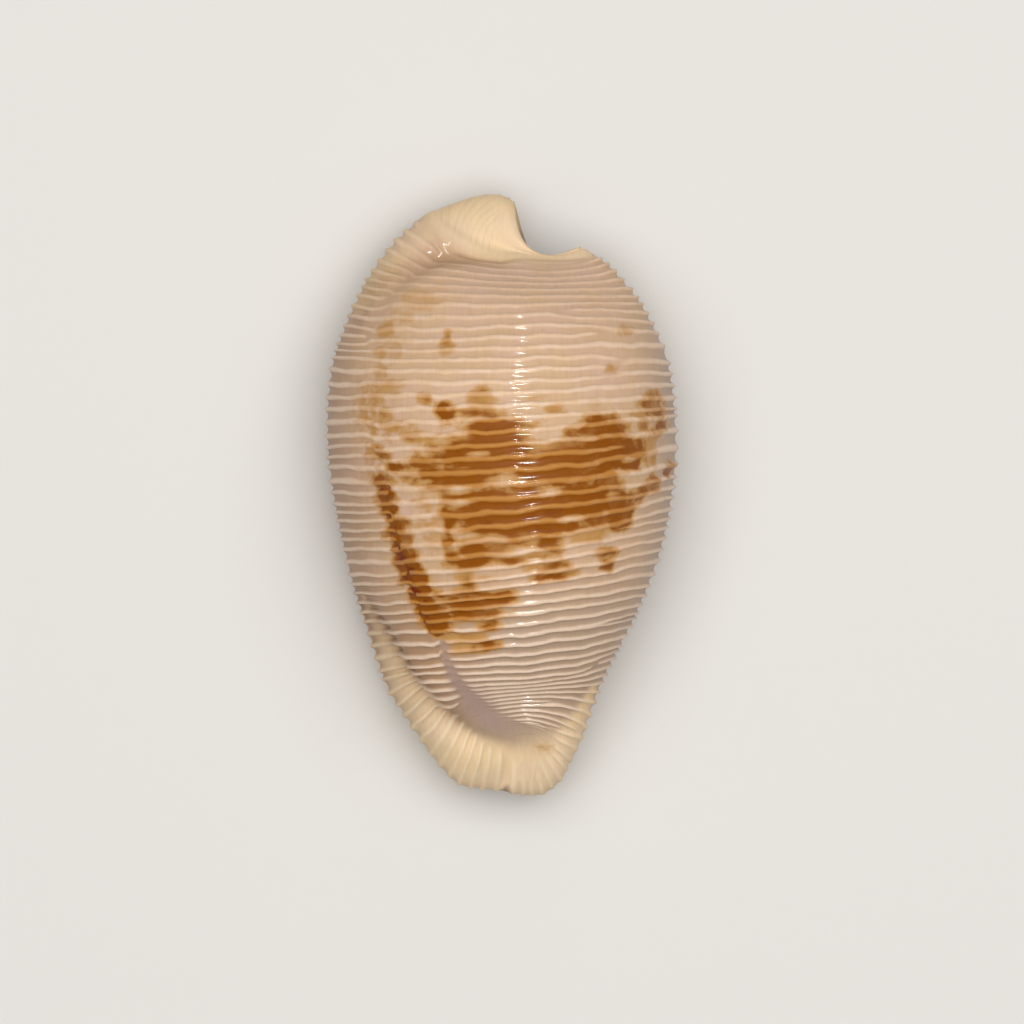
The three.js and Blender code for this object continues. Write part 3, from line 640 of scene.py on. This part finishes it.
# Where the flats show through the blotches, as [x, y, half width, half height]
GAPS = [
    (0.6, 2.6, 2.0, 0.7), (8.2, 0.6, 1.3, 0.8), (-7.2, 0.9, 1.3, 0.6), (-6.9, -1.6, 1.5, 0.6),
    (-6.0, -7.0, 2.2, 0.5), (21.6, 2.9, 2.0, 0.7), (-0.6, -14.0, 4.0, 1.7), (-11.8, -0.7, 2.0, 1.3),
    (20.9, 5.9, 0.8, 0.4), (7.2, -9.4, 1.0, 0.3), (11.3, -3.9, 1.8, 0.5), (18.3, 0.2, 0.7, 0.3),
    (-3.6, 6.7, 1.5, 0.4), (-10.8, -9.9, 1.3, 5.0), (-12.2, -5.7, 1.5, 3.3), (3.1, -9.4, 2.0, 0.8),
]
# Soft tan washes: place, half width, half height and strength
WASHES = [
    (-20.8, 13.0, 4.0, 8.5, 0.62), (-20.5, 4.0, 4.0, 5.0, 0.32), (-12.0, -4.0, 4.0, 11.0, 0.34),
    (-12.0, 8.0, 5.0, 5.0, 0.25), (-5.0, -12.5, 7.0, 4.5, 0.3), (3.0, 1.0, 16.0, 13.0, 0.3),
    (-18.0, 26.0, 5.0, 8.0, 0.22), (-8.0, 33.0, 8.0, 4.0, 0.15), (20.0, 6.0, 6.0, 12.0, 0.2),
    (-15.0, -12.0, 4.0, 8.0, 0.2), (7.2, -41.6, 3.0, 1.6, 0.32),
]
print("gaps:", len(GAPS), "washes:", len(WASHES))

# %% [markdown]
# ### Cream callus
# Callus is thick cream enamel. It covers the front rim and thins out over the left shoulder, where
# its cream is partly painted light.

# %% Cream callus
# The front rim, as [x, y, half width]
CREAM = [
    (-23.6, -17.0, 0.3), (-22.9, -19.5, 0.5), (-21.8, -22.5, 0.8),
    (-20.6, -25.5, 1.1), (-19.0, -29.0, 1.6), (-16.8, -32.8, 2.4), (-13.8, -37.0, 3.4),
    (-10.2, -42.5, 4.8), (-3.6, -46.0, 6.2), (4.7, -46.6, 6.4), (9.4, -44.6, 5.4),
    (12.0, -40.5, 3.2), (14.0, -36.0, 1.8), (15.5, -32.0, 0.8),
]
# The left shoulder, where the beak's cream callus thins out over the ribs; the cream there is also
# painted light on a slope that turns away from the broad light
SHOULDER = [(-10.5, 45.5, 2.0), (-16.0, 41.8, 2.6), (-20.8, 36.8, 2.2), (-24.0, 31.0, 1.2)]
print("callus:", len(CREAM) + len(SHOULDER), "places")

# %% [markdown]
# ### How blotches melt together
# Pigment spots that touch run into one another. A plain maximum would leave a cusp between two
# ovals, so a soft one is used.

# %% Ovals that melt together
# Ovals that overlap melt into one another over this many millimetres
SOFTNESS = 0.1
# How far outside every oval the sides and the base count as lying, in millimetres
OFF_THE_BACK = -2.0


def ovals(rows, rib, around, x, y, line=()):
    """How far inside the nearest oval or line each point is, in millimetres, and its tone."""
    on_back = np.abs(around) < 1
    stains = [((half_width - gap) * UNIT, MANTLE_TONE)
              for gap, half_width in along_path(x, y, line)]
    for cx, cy, half_w, half_h, *tone in rows:
        # The oval's height is measured across the ribs where it lies, so that it bends with them
        gap = np.where(on_back, (x - cx)**2 + (y - cy)**2, 1e9)
        row, column = np.unravel_index(gap.argmin(), gap.shape)
        near = slice(max(row - 3, 0), row + 4)
        per_rib = abs(np.polyfit(rib[near, column], y[near, column], 1)[0])
        ring = np.hypot((x - cx) / half_w, (rib - rib[row, column]) * per_rib / half_h)
        stains.append(((1 - ring) * half_h * UNIT, tone[0] if tone else 0))
    tone_sum, weight_sum = np.zeros_like(x), np.full_like(x, 1e-9)
    for inside, tone in stains:
        weight = np.exp(np.where(on_back, inside, OFF_THE_BACK) / SOFTNESS)
        tone_sum += weight * tone
        weight_sum += weight
    return SOFTNESS * np.log(weight_sum), tone_sum / weight_sum


print("ovals melt over", SOFTNESS, "mm")

# %% [markdown]
# ### What each point is painted with
# Besides the ribs, the finish reads nine numbers a point: blotch, tone, and thinness with painted
# shade; cream, mauve and painted shade; wash and grey, with one spare. They are attributes of the
# mesh, so they never slide.

# %% Colour fields
# The depth in millimetres at which a sunken place takes its painted shade in full
SPIRE_SHADE, CREASE_SHADE, RIM_SHADE, PIT_SHADE = 0.9, 0.14, 0.6, 0.28
# How far that shade spreads beside the spire, the rim furrow and the pits, in hundredths of the
# length
SPIRE_SPREAD, RIM_SPREAD, PIT_SPREAD = 2.2, 2.6, 1.3


def colour_fields(rib, around, point):
    x, y = point[..., 0] / UNIT, point[..., 1] / UNIT
    reach = np.abs(around)
    on_back = reach < 1
    wash = np.zeros_like(x)
    for cx, cy, half_w, half_h, strength in WASHES:
        ring = ((x - cx) / half_w)**2 + ((y - cy) / half_h)**2
        wash = np.maximum(wash, strength * np.exp(-1.5 * ring) * on_back)
    # Every edge is drawn a little out of true, so that no oval looks like one
    drawn_x, drawn_y = x + 0.45 * waver(x, y, 4, 4), y + 0.25 * waver(x, y, 5, 5)
    blotch, tone = ovals(MARKS, rib, around, drawn_x, drawn_y, MANTLE_LINE)
    gap, _ = ovals(GAPS, rib, around, drawn_x, drawn_y)
    tone = tone * (1 - 0.75 * smooth(gap, -0.15, 0.12))
    beak = (1 - smooth(rib, -0.5, 1.5)) * np.where(reach < 1.2, 1, 0.8)
    # Round the sides, which fall away steeply, the callus thins out more slowly
    on_left = x < 0
    fade = smooth(-y, np.where(on_left, 15, 29), np.where(on_left, 29, 42))
    on_side = near_path(x, y, CREAM, power=1.6) * fade
    callus = lerp(near_path(x, y, CREAM), on_side, smooth(reach, 0.7, 1.0))
    # On the left shoulder the cream is partly callus and partly painted light
    cream = np.maximum.reduce([callus, 0.6 * near_path(x, y, SHOULDER), beak])
    mauve = near_path(x, y, [(a, b, c * 1.15) for a, b, c in SULCUS], power=2.2)
    mauve = np.where(on_back, mauve * (1 - smooth(x, -1.5, 5)), 0)
    # Painted shade: the colour darkens in the sunken spire, the rim furrow, the pits between the
    # ribs and the crease
    spire = near_path(x, y, SPIRE_FURROW, SPIRE_SPREAD) / SPIRE_SHADE
    crease = near_path(x, y, CREASE, CREASE_WIDTH) / CREASE_SHADE
    rim = near_path(x, y, RIM_FURROW, RIM_SPREAD) / RIM_SHADE * lerp(0.35, 1, smooth(y, -40, -34))
    pits = np.maximum.reduce([near_path(x, y, p, PIT_SPREAD) for p in PITS]) / PIT_SHADE
    painted_shade = np.maximum.reduce([spire, rim, pits]) * smooth(rib, -1, 0)
    painted_shade = np.clip(np.maximum(painted_shade * (1 - 0.7 * cream), crease), 0, 1) * on_back
    # The enamel is thinner, and the flats darker, towards the margins and the front; that darkening
    # is partly thin enamel and partly painted shade between the ribs
    thin_enamel_and_shade = np.maximum(smooth(reach, 0.45, 0.95), 0.85 * smooth(rib, 26, 36)) * smooth(rib, 4, 14)
    thin_enamel_and_shade = np.maximum(thin_enamel_and_shade, 0.8 * smooth(reach, 1, 1.6))
    grey = smooth(x + 0.3 * (rib - 30), -10, 4)
    return (np.stack([blotch, tone, thin_enamel_and_shade], -1), np.stack([cream, mauve, painted_shade], -1),
            np.stack([wash, grey, np.zeros_like(x)], -1))


print("shaded in full at, mm:", SPIRE_SHADE, CREASE_SHADE, RIM_SHADE, PIT_SHADE)

# %% [markdown]
# ## The shell as one mesh
# No operator makes ribs that fork, so one flat grid is made and its points are carried to their
# places. Its columns run from lip to lip over the back and return along the hollow. Its rows
# follow the ribs, four to each number along the beak and eight to a rib elsewhere, and both ends
# fold shut.

# %% Rows and columns
BEAK_ROWS_PER_RIB, ROWS_PER_RIB = 4, 8
rows = np.concatenate([np.linspace(FIRST, 0, -FIRST * BEAK_ROWS_PER_RIB + 1)[:-1],
                       np.linspace(0, LAST, LAST * ROWS_PER_RIB + 1)])
# From where to where round the section, in how many columns
COLUMNS = [(-3, -2, 5), (-2, -1, 11), (-1, 1, 99), (1, 2, 11), (2, 3, 5)]
over = np.concatenate([*(np.linspace(start, end, count + 1)[:-1] for start, end, count in COLUMNS),
                       [3.0]])
print("rows", len(rows), "columns over the outside", len(over))

# %% [markdown]
# ### Outside and inside
# The ribs stand out from the plain surface along its own normal. The hollow can't be seen far in,
# so it is smooth and has a third of the columns.

# %% Carry the points to their places
rib_grid, over_grid = np.meshgrid(rows, over, indexing="ij")
plain = outside(rib_grid, over_grid)
height, wave, tall = relief(rib_grid, over_grid, plain)
marks, tones, washes = colour_fields(rib_grid, over_grid, plain)
waves = np.stack([wave.real, wave.imag, tall / MARGIN_RIB], -1)
outer = plain + outward(rib_grid, over_grid) * height[..., None]
outer[..., 2] = np.maximum(outer[..., 2], 0)
# Inside, only every third column is kept apart; the rest fall on it and are merged
INSIDE_EVERY = 3
kept = np.round(np.arange(len(over)) / INSIDE_EVERY).astype(int) * INSIDE_EVERY
kept = np.minimum(kept, len(over) - 1)
inner_at = np.tile(over[kept], (len(rows), 1))
inner_at[0], inner_at[-1] = over, over
inner = hollow(rib_grid, inner_at)
inner[0], inner[-1] = outer[0], outer[-1]
print("relief from", height.min().round(2), "to", height.max().round(2), "mm")

# %% [markdown]
# ### One closed ring
# The first column is repeated after the hollow, so the sheet closes when doubles are merged. The
# fields go round with it. Inside there are no ribs, blotches or washes, but the callus carries on.

# %% Close the ring and fit the box
def round_the_ring(outside_values, inside_values):
    return np.concatenate([outside_values, inside_values[:, ::-1], outside_values[:, :1]], axis=1)


places = (round_the_ring(outer, inner) + np.array(SHIFT)) / 1000
fields = {
    "ribs": round_the_ring(waves, waves * 0),
    "marks": round_the_ring(marks, marks * 0 + OFF_THE_BACK),
    "tones": round_the_ring(tones, tones),
    "washes": round_the_ring(washes, washes * 0),
}
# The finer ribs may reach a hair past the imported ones, so each axis is brought back into the box
own_reach = np.abs(places).reshape(-1, 3).max(0)
fit = np.minimum(1, np.array(cad_high) / own_reach)
places = places * fit
print("grid", places.shape[:2], "fit", fit.round(5), "own reach mm", (own_reach * 1000).round(3))

# %% [markdown]
# ### From grid to shell
# The operator makes the flat grid and its faces, and each point then gets its place and its
# fields. Merging doubles closes the seam, and the normals are found again once it is closed.

# %% Bend the grid and close it
bm = bmesh.new()
columns = places.shape[1]
bmesh.ops.create_grid(bm, x_segments=columns - 1, y_segments=len(rows) - 1, size=1)
assert len(bm.verts) == columns * len(rows)
layers = {name: bm.verts.layers.float_vector.new(name) for name in fields}
for vert, place in zip(bm.verts, places.reshape(-1, 3)):
    vert.co = place
for name, layer in layers.items():
    for vert, value in zip(bm.verts, fields[name].reshape(-1, 3)):
        vert[layer] = value
# Doubles within a micrometre are one point
bmesh.ops.remove_doubles(bm, verts=bm.verts, dist=1e-6)
bmesh.ops.dissolve_degenerate(bm, dist=1e-7, edges=bm.edges)
bmesh.ops.recalc_face_normals(bm, faces=bm.faces)
for face in bm.faces:
    face.smooth = True
open_edges = sum(not edge.is_manifold for edge in bm.edges)
volume = bm.calc_volume(signed=True) * 1e9
print("open edges", open_edges, "volume mm3", round(volume, 1))

# %% [markdown]
# ### The piece
# It is named for what it is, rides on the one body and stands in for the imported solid.

# %% Hand the shell to the frame
shell_mesh = bpy.data.meshes.new("shell")
bm.to_mesh(shell_mesh)
bm.free()
shell = bpy.data.objects.new("shell", shell_mesh)
bpy.context.scene.collection.objects.link(shell)
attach(shell, "root")
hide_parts("cowrie_shell")
triangles = sum(len(face.vertices) - 2 for face in shell_mesh.polygons)
print("shell", triangles, "triangles")

# %% [markdown]
# ## The enamel
# Cowrie shell is aragonite, and the mantle lays a porcelain-like enamel over it. The rib crests
# are thick and cream, the flats between them let warm tan and mauve layers through, and brown
# pigment lies in the flats and shows paler through the crests. A flat colour with a glossy coat
# would look like plastic, so the colours are laid coat on coat, as the shell lays them.

# %% One function for colours, one for nodes
def linear(hex_colour):
    """An sRGB hex colour as linear RGBA."""
    parts = [int(hex_colour[i:i + 2], 16) / 255 for i in (1, 3, 5)]
    return (*[v / 12.92 if v <= 0.04045 else ((v + 0.055) / 1.055) ** 2.4 for v in parts], 1)


enamel = bpy.data.materials.new("porcelaneous aragonite enamel")
enamel.use_nodes = True
tree = enamel.node_tree
tree.nodes.clear()


def add_node(kind, settings, *values, **named):
    """Adds a node with its settings and links. Its inputs in use, in order or by name, each take a
    constant, a hex colour, an output, or a node, which stands for its first output in use."""
    made = tree.nodes.new("ShaderNode" + kind)
    for name, value in settings.items():
        setattr(made, name, value)
    in_use = [socket for socket in made.inputs if socket.enabled]
    by_name = [(made.inputs[name.replace("_", " ")], value) for name, value in named.items()]
    for socket, value in [*zip(in_use, values), *by_name]:
        if isinstance(value, bpy.types.Node):
            value = next(output for output in value.outputs if output.enabled)
        if isinstance(value, bpy.types.NodeSocket):
            tree.links.new(value, socket)
        else:
            socket.default_value = linear(value) if isinstance(value, str) else value
    return made


# Settings used again and again: a soft step, one colour laid over another, and the sums
STEP, COAT = {"interpolation_type": "SMOOTHSTEP"}, {"data_type": "RGBA"}
TIMES, TIMES_PLUS, MINUS, DIVIDE, ROOT, LARGER = (
    {"operation": name} for name in
    ("MULTIPLY", "MULTIPLY_ADD", "SUBTRACT", "DIVIDE", "SQRT", "MAXIMUM"))
print("linear cream:", [round(v, 3) for v in linear("#e6c99f")])

# %% [markdown]
# ### What the finish reads
# Each field is three numbers of the mesh. The ribs' wave is a point on a circle, so its cosine is
# 1 on a crest and -1 in the middle of a flat, however the ribs fork.

# %% Fields and crests
field = {}
for name in fields:
    stored = add_node("Attribute", {"attribute_name": name})
    field[name] = add_node("SeparateXYZ", {}, stored.outputs["Vector"]).outputs
rib_re, rib_im, rib_tall = field["ribs"]
inside_mark, tone, thin_enamel_and_shade = field["marks"]
cream, mauve, painted_shade = field["tones"]
wash, grey, _ = field["washes"]

squared = add_node("Math", TIMES_PLUS, rib_re, rib_re, add_node("Math", TIMES, rib_im, rib_im))
length = add_node("Math", LARGER, add_node("Math", ROOT, squared), 0.001)
cosine = add_node("Math", DIVIDE, rib_re, length)
crest = add_node("Math", TIMES, add_node("MapRange", STEP, cosine, -0.1, 0.95),
                 add_node("MapRange", STEP, rib_tall, 0.1, 0.5))
# On the beak a line is a rib of less than no height
beak_line = add_node("Math", TIMES, add_node("MapRange", STEP, cosine, 0.4, 1.0),
                     add_node("MapRange", STEP, rib_tall, -0.02, -0.08))
print("fields:", list(field), "nodes so far:", len(tree.nodes))

# %% [markdown]
# ### Grain
# Enamel is never quite even. Four soft noises have features of a real size in millimetres, and
# are stretched along an axis where the shell grew that way. Growth lines are finer than the view
# shows, so they are drawn just coarse enough to see close up.

# %% Four grains
# The size of a feature in millimetres, how much it is stretched along each axis, and the detail
GRAIN = {
    "patchy": (2.4, (1, 1, 1), 3.0),
    "mottle": (0.7, (1.6, 1, 1), 3.0),
    "growth": (0.16, (1, 12, 4), 1.0),
    "ragged": (0.6, (2.2, 1, 1), 3.0),
}
coords = add_node("TexCoord", {}).outputs["Object"]
grain = {}
for name, (millimetres, stretch, detail) in GRAIN.items():
    place = add_node("VectorMath", TIMES, coords, tuple(1 / v for v in stretch))
    grain[name] = add_node("TexNoise", {}, place, Scale=1000 / millimetres, Detail=detail,
                           Roughness=0.55)
patchy, mottle, growth, ragged = grain.values()
print("grains, mm:", {name: row[0] for name, row in GRAIN.items()})

# %% [markdown]
# ### Flats and crests
# The flats are warm tan, pinker in places, and darker towards the margins and the front, partly for
# thin enamel and partly as painted shade between the ribs. Painted shade darkens them in the
# sunken places too.
# The crests are cream. Each coat below says how strongly it lies on what is under it, and its
# colour.

# %% Flats and crests
# The thin flat colour is partly painted shade; the last, dark brown coat is painted shade in the
# sunken places
thin_and_shaded_flat = add_node("Mix", COAT, grey, "#a68262", "#ac947f")
flat = "#cba985"
for share, colour in [
        (add_node("MapRange", STEP, patchy, 0.35, 0.7), "#ceab93"),
        (add_node("MapRange", STEP, mottle, 0.45, 0.8, 0.0, 0.3), "#bb9574"),
        (add_node("Math", TIMES, thin_enamel_and_shade, 0.9), thin_and_shaded_flat),
        (add_node("Math", TIMES, painted_shade, 0.9), "#8e6546")]:
    flat = add_node("Mix", COAT, share, flat, colour)
# On the crests the pale coat where the enamel is thin is partly painted light, and the brown coat
# is painted shade in the sunken places
ridge = "#dfbc98"
for share, colour in [
        (add_node("MapRange", STEP, mottle, 0.3, 0.7), "#e3c6ac"),
        (add_node("Math", TIMES, thin_enamel_and_shade, 0.8), "#dfc9b4"),
        (add_node("Math", TIMES, painted_shade, 0.4), "#bb9673")]:
    ridge = add_node("Mix", COAT, share, ridge, colour)
print("flats and crests, nodes so far:", len(tree.nodes))

# %% [markdown]
# ### Callus and mauve strip
# Callus covers flats and crests alike, and older mauve enamel shows beside the rim.

# %% Callus and mauve strip
# The callus too darkens with painted shade in the sunken places
callus = "#e6c99f"
for share, colour in [
        (add_node("MapRange", STEP, patchy, 0.3, 0.7), "#e4c8a6"),
        (beak_line, "#e0c39a"),
        (add_node("Math", TIMES, painted_shade, 0.8), "#b3936f"),
        (add_node("Math", TIMES, crest, 0.7), "#edd5b1")]:
    callus = add_node("Mix", COAT, share, callus, colour)
base = add_node("Mix", COAT, crest, flat, ridge)
base = add_node("Mix", COAT, cream, base, callus)
base = add_node("Mix", COAT, add_node("Math", TIMES, mauve, 0.85), base, "#ad9185")
print("callus and mauve strip, nodes so far:", len(tree.nodes))

# %% [markdown]
# ### Brown blotches
# First how strong the brown is: full inside a blotch, ragged at its edge, mottled within. Then
# what it does, from tan to deep brown, to the flats and, paler, to the crests above them. The
# mantle line, one small spot and the darkest mottling go past 1, towards red-brown.

# %% Brown blotches
edge = add_node("Math", TIMES_PLUS, add_node("Math", MINUS, ragged, 0.5), 0.6, inside_mark)
stain = add_node("Math", TIMES, add_node("MapRange", STEP, edge, -0.2, 0.24), tone)
stain = add_node("Math", TIMES, stain, add_node("MapRange", STEP, mottle, 0.3, 0.7, 1.12, 0.78))
washed = add_node("Math", TIMES, wash, add_node("MapRange", STEP, ragged, 0.25, 0.75))
stain = add_node("Math", LARGER, stain, washed)
# Between which strengths each coat of brown comes in
in_flat, on_crest = base, base
for start, end, colour in [(0.0, 0.35, "#b98a50"), (0.3, 0.8, "#884900"), (0.95, 1.25, "#6c2800")]:
    share = add_node("MapRange", STEP, stain, start, end)
    in_flat = add_node("Mix", COAT, share, in_flat, colour)
for start, end, colour in [(0.0, 0.4, "#d2a578"), (0.35, 0.85, "#b97e3a"), (0.95, 1.25, "#b07a4c")]:
    share = add_node("MapRange", STEP, stain, start, end)
    on_crest = add_node("Mix", COAT, share, on_crest, colour)
base = add_node("Mix", COAT, crest, in_flat, on_crest)
share = add_node("MapRange", STEP, growth, 0.35, 0.65, 0.0, 0.05)
base = add_node("Mix", COAT, share, base, "#7a5a48")
print("blotches, nodes so far:", len(tree.nodes))

# %% [markdown]
# ### Gloss
# The back has a thin clear gloss over a soft body, and a coat over a rough base gives that. The
# callus is duller. The IOR stays at 1.5, a little under aragonite's 1.53. The specular level is
# far under a real shell's: matched to the photo, whose browns are deep, as a full reflection of
# the pale room washes them out. Growth lines are a faint bump, far too fine to model.

# %% Gloss
bump = add_node("Bump", {}, Strength=0.12, Distance=0.00002, Height=growth)
gloss = add_node("MapRange", STEP, cream, 0.0, 0.6, 0.2, 0.01)
surface = add_node("BsdfPrincipled", {}, Base_Color=base, Roughness=0.5, Specular_IOR_Level=0.06,
                   Coat_Weight=gloss, Coat_Roughness=0.09, Normal=bump)
add_node("OutputMaterial", {}, Surface=surface)
shell_mesh.materials.append(enamel)
print("enamel:", len(tree.nodes), "nodes")

# %% [markdown]
# ## Setting
# The shell lies on a pale plain floor. A curved backdrop would do as well, but from straight
# above only the floor is seen. It is matt paper, so it gives no glare.

# %% Floor
PALE_PAPER, PAPER_ROUGHNESS = "#d9d6d1", 0.9
# Half the floor's width, and how far it lies under the shell, in metres
FLOOR_REACH, FLOOR_DROP = 0.5, 0.0001
floor_bm = bmesh.new()
bmesh.ops.create_grid(floor_bm, x_segments=1, y_segments=1, size=FLOOR_REACH)
floor_mesh = bpy.data.meshes.new("floor")
floor_bm.to_mesh(floor_mesh)
floor_bm.free()
floor = bpy.data.objects.new("floor", floor_mesh)
floor.location.z = -FLOOR_DROP
bpy.context.scene.collection.objects.link(floor)
paper = bpy.data.materials.new("matt pale paper")
paper.use_nodes = True
paper_inputs = paper.node_tree.nodes["Principled BSDF"].inputs
paper_inputs["Base Color"].default_value = linear(PALE_PAPER)
paper_inputs["Roughness"].default_value = PAPER_ROUGHNESS
floor_mesh.materials.append(paper)
print("floor", 2 * FLOOR_REACH, "m wide")

# %% [markdown]
# ### Light
# Soft studio light: a dim white world and one broad light from above. The broad light is kept out
# of the gloss, as a polarising filter would, and three small lamps serve only to glint on the
# crests. The Standard view keeps the colours as they were picked.

# %% Light
WORLD_STRENGTH = 0.3
world = bpy.data.worlds.new("studio")
world.use_nodes = True
world.node_tree.nodes["Background"].inputs["Color"].default_value = (1, 1, 1, 1)
world.node_tree.nodes["Background"].inputs["Strength"].default_value = WORLD_STRENGTH
bpy.context.scene.world = world
bpy.context.scene.view_settings.view_transform = "Standard"

# Each lamp: its place, its width and length in metres, and its power in watts
LAMPS = {
    "top_light": ((0.01, 0.03, 0.40), (0.4, 0.4), 1.76),
    "lamp_1": ((0.072, 0.05, 0.32), (0.007, 0.04), 0.55),
    "lamp_2": ((0.096, 0.05, 0.32), (0.007, 0.04), 0.55),
    "lamp_3": ((0.034, 0.26, 0.20), (0.005, 0.11), 0.6),
}
MIDDLE_OF_SHELL = Vector((0, 0, 0.007))
for name, (place, size, power) in LAMPS.items():
    lamp = bpy.data.lights.new(name, "AREA")
    lamp.shape = "RECTANGLE"
    lamp.size, lamp.size_y = size
    lamp.energy = power
    stand = bpy.data.objects.new(name, lamp)
    stand.location = place
    towards_shell = MIDDLE_OF_SHELL - Vector(place)
    stand.rotation_euler = towards_shell.to_track_quat("-Z", "Y").to_euler()
    bpy.context.scene.collection.objects.link(stand)
    if name == "top_light":
        stand.visible_glossy = False
    else:
        stand.visible_diffuse = False
print("lamps:", list(LAMPS))

# %% [markdown]
# ### Camera
# The photo looks straight down with hardly any perspective, so a very long lens stands far off.
# Its distance follows from the width of the view at the height of the shell's outline.

# %% Camera
VIEW_WIDTH = 0.05086
SILHOUETTE_HEIGHT = 0.004
# The middle of the view, in metres
VIEW_X, VIEW_Y = 0.00052, -0.00082
camera_data = bpy.data.cameras.new("camera")
camera_data.lens = 600
camera_data.clip_start = 0.001
camera = bpy.data.objects.new("camera", camera_data)
distance = VIEW_WIDTH * camera_data.lens / camera_data.sensor_width
camera.location = (VIEW_X, VIEW_Y, SILHOUETTE_HEIGHT + distance)
bpy.context.scene.collection.objects.link(camera)
bpy.context.scene.camera = camera
print("camera", round(distance, 3), "m above the outline")
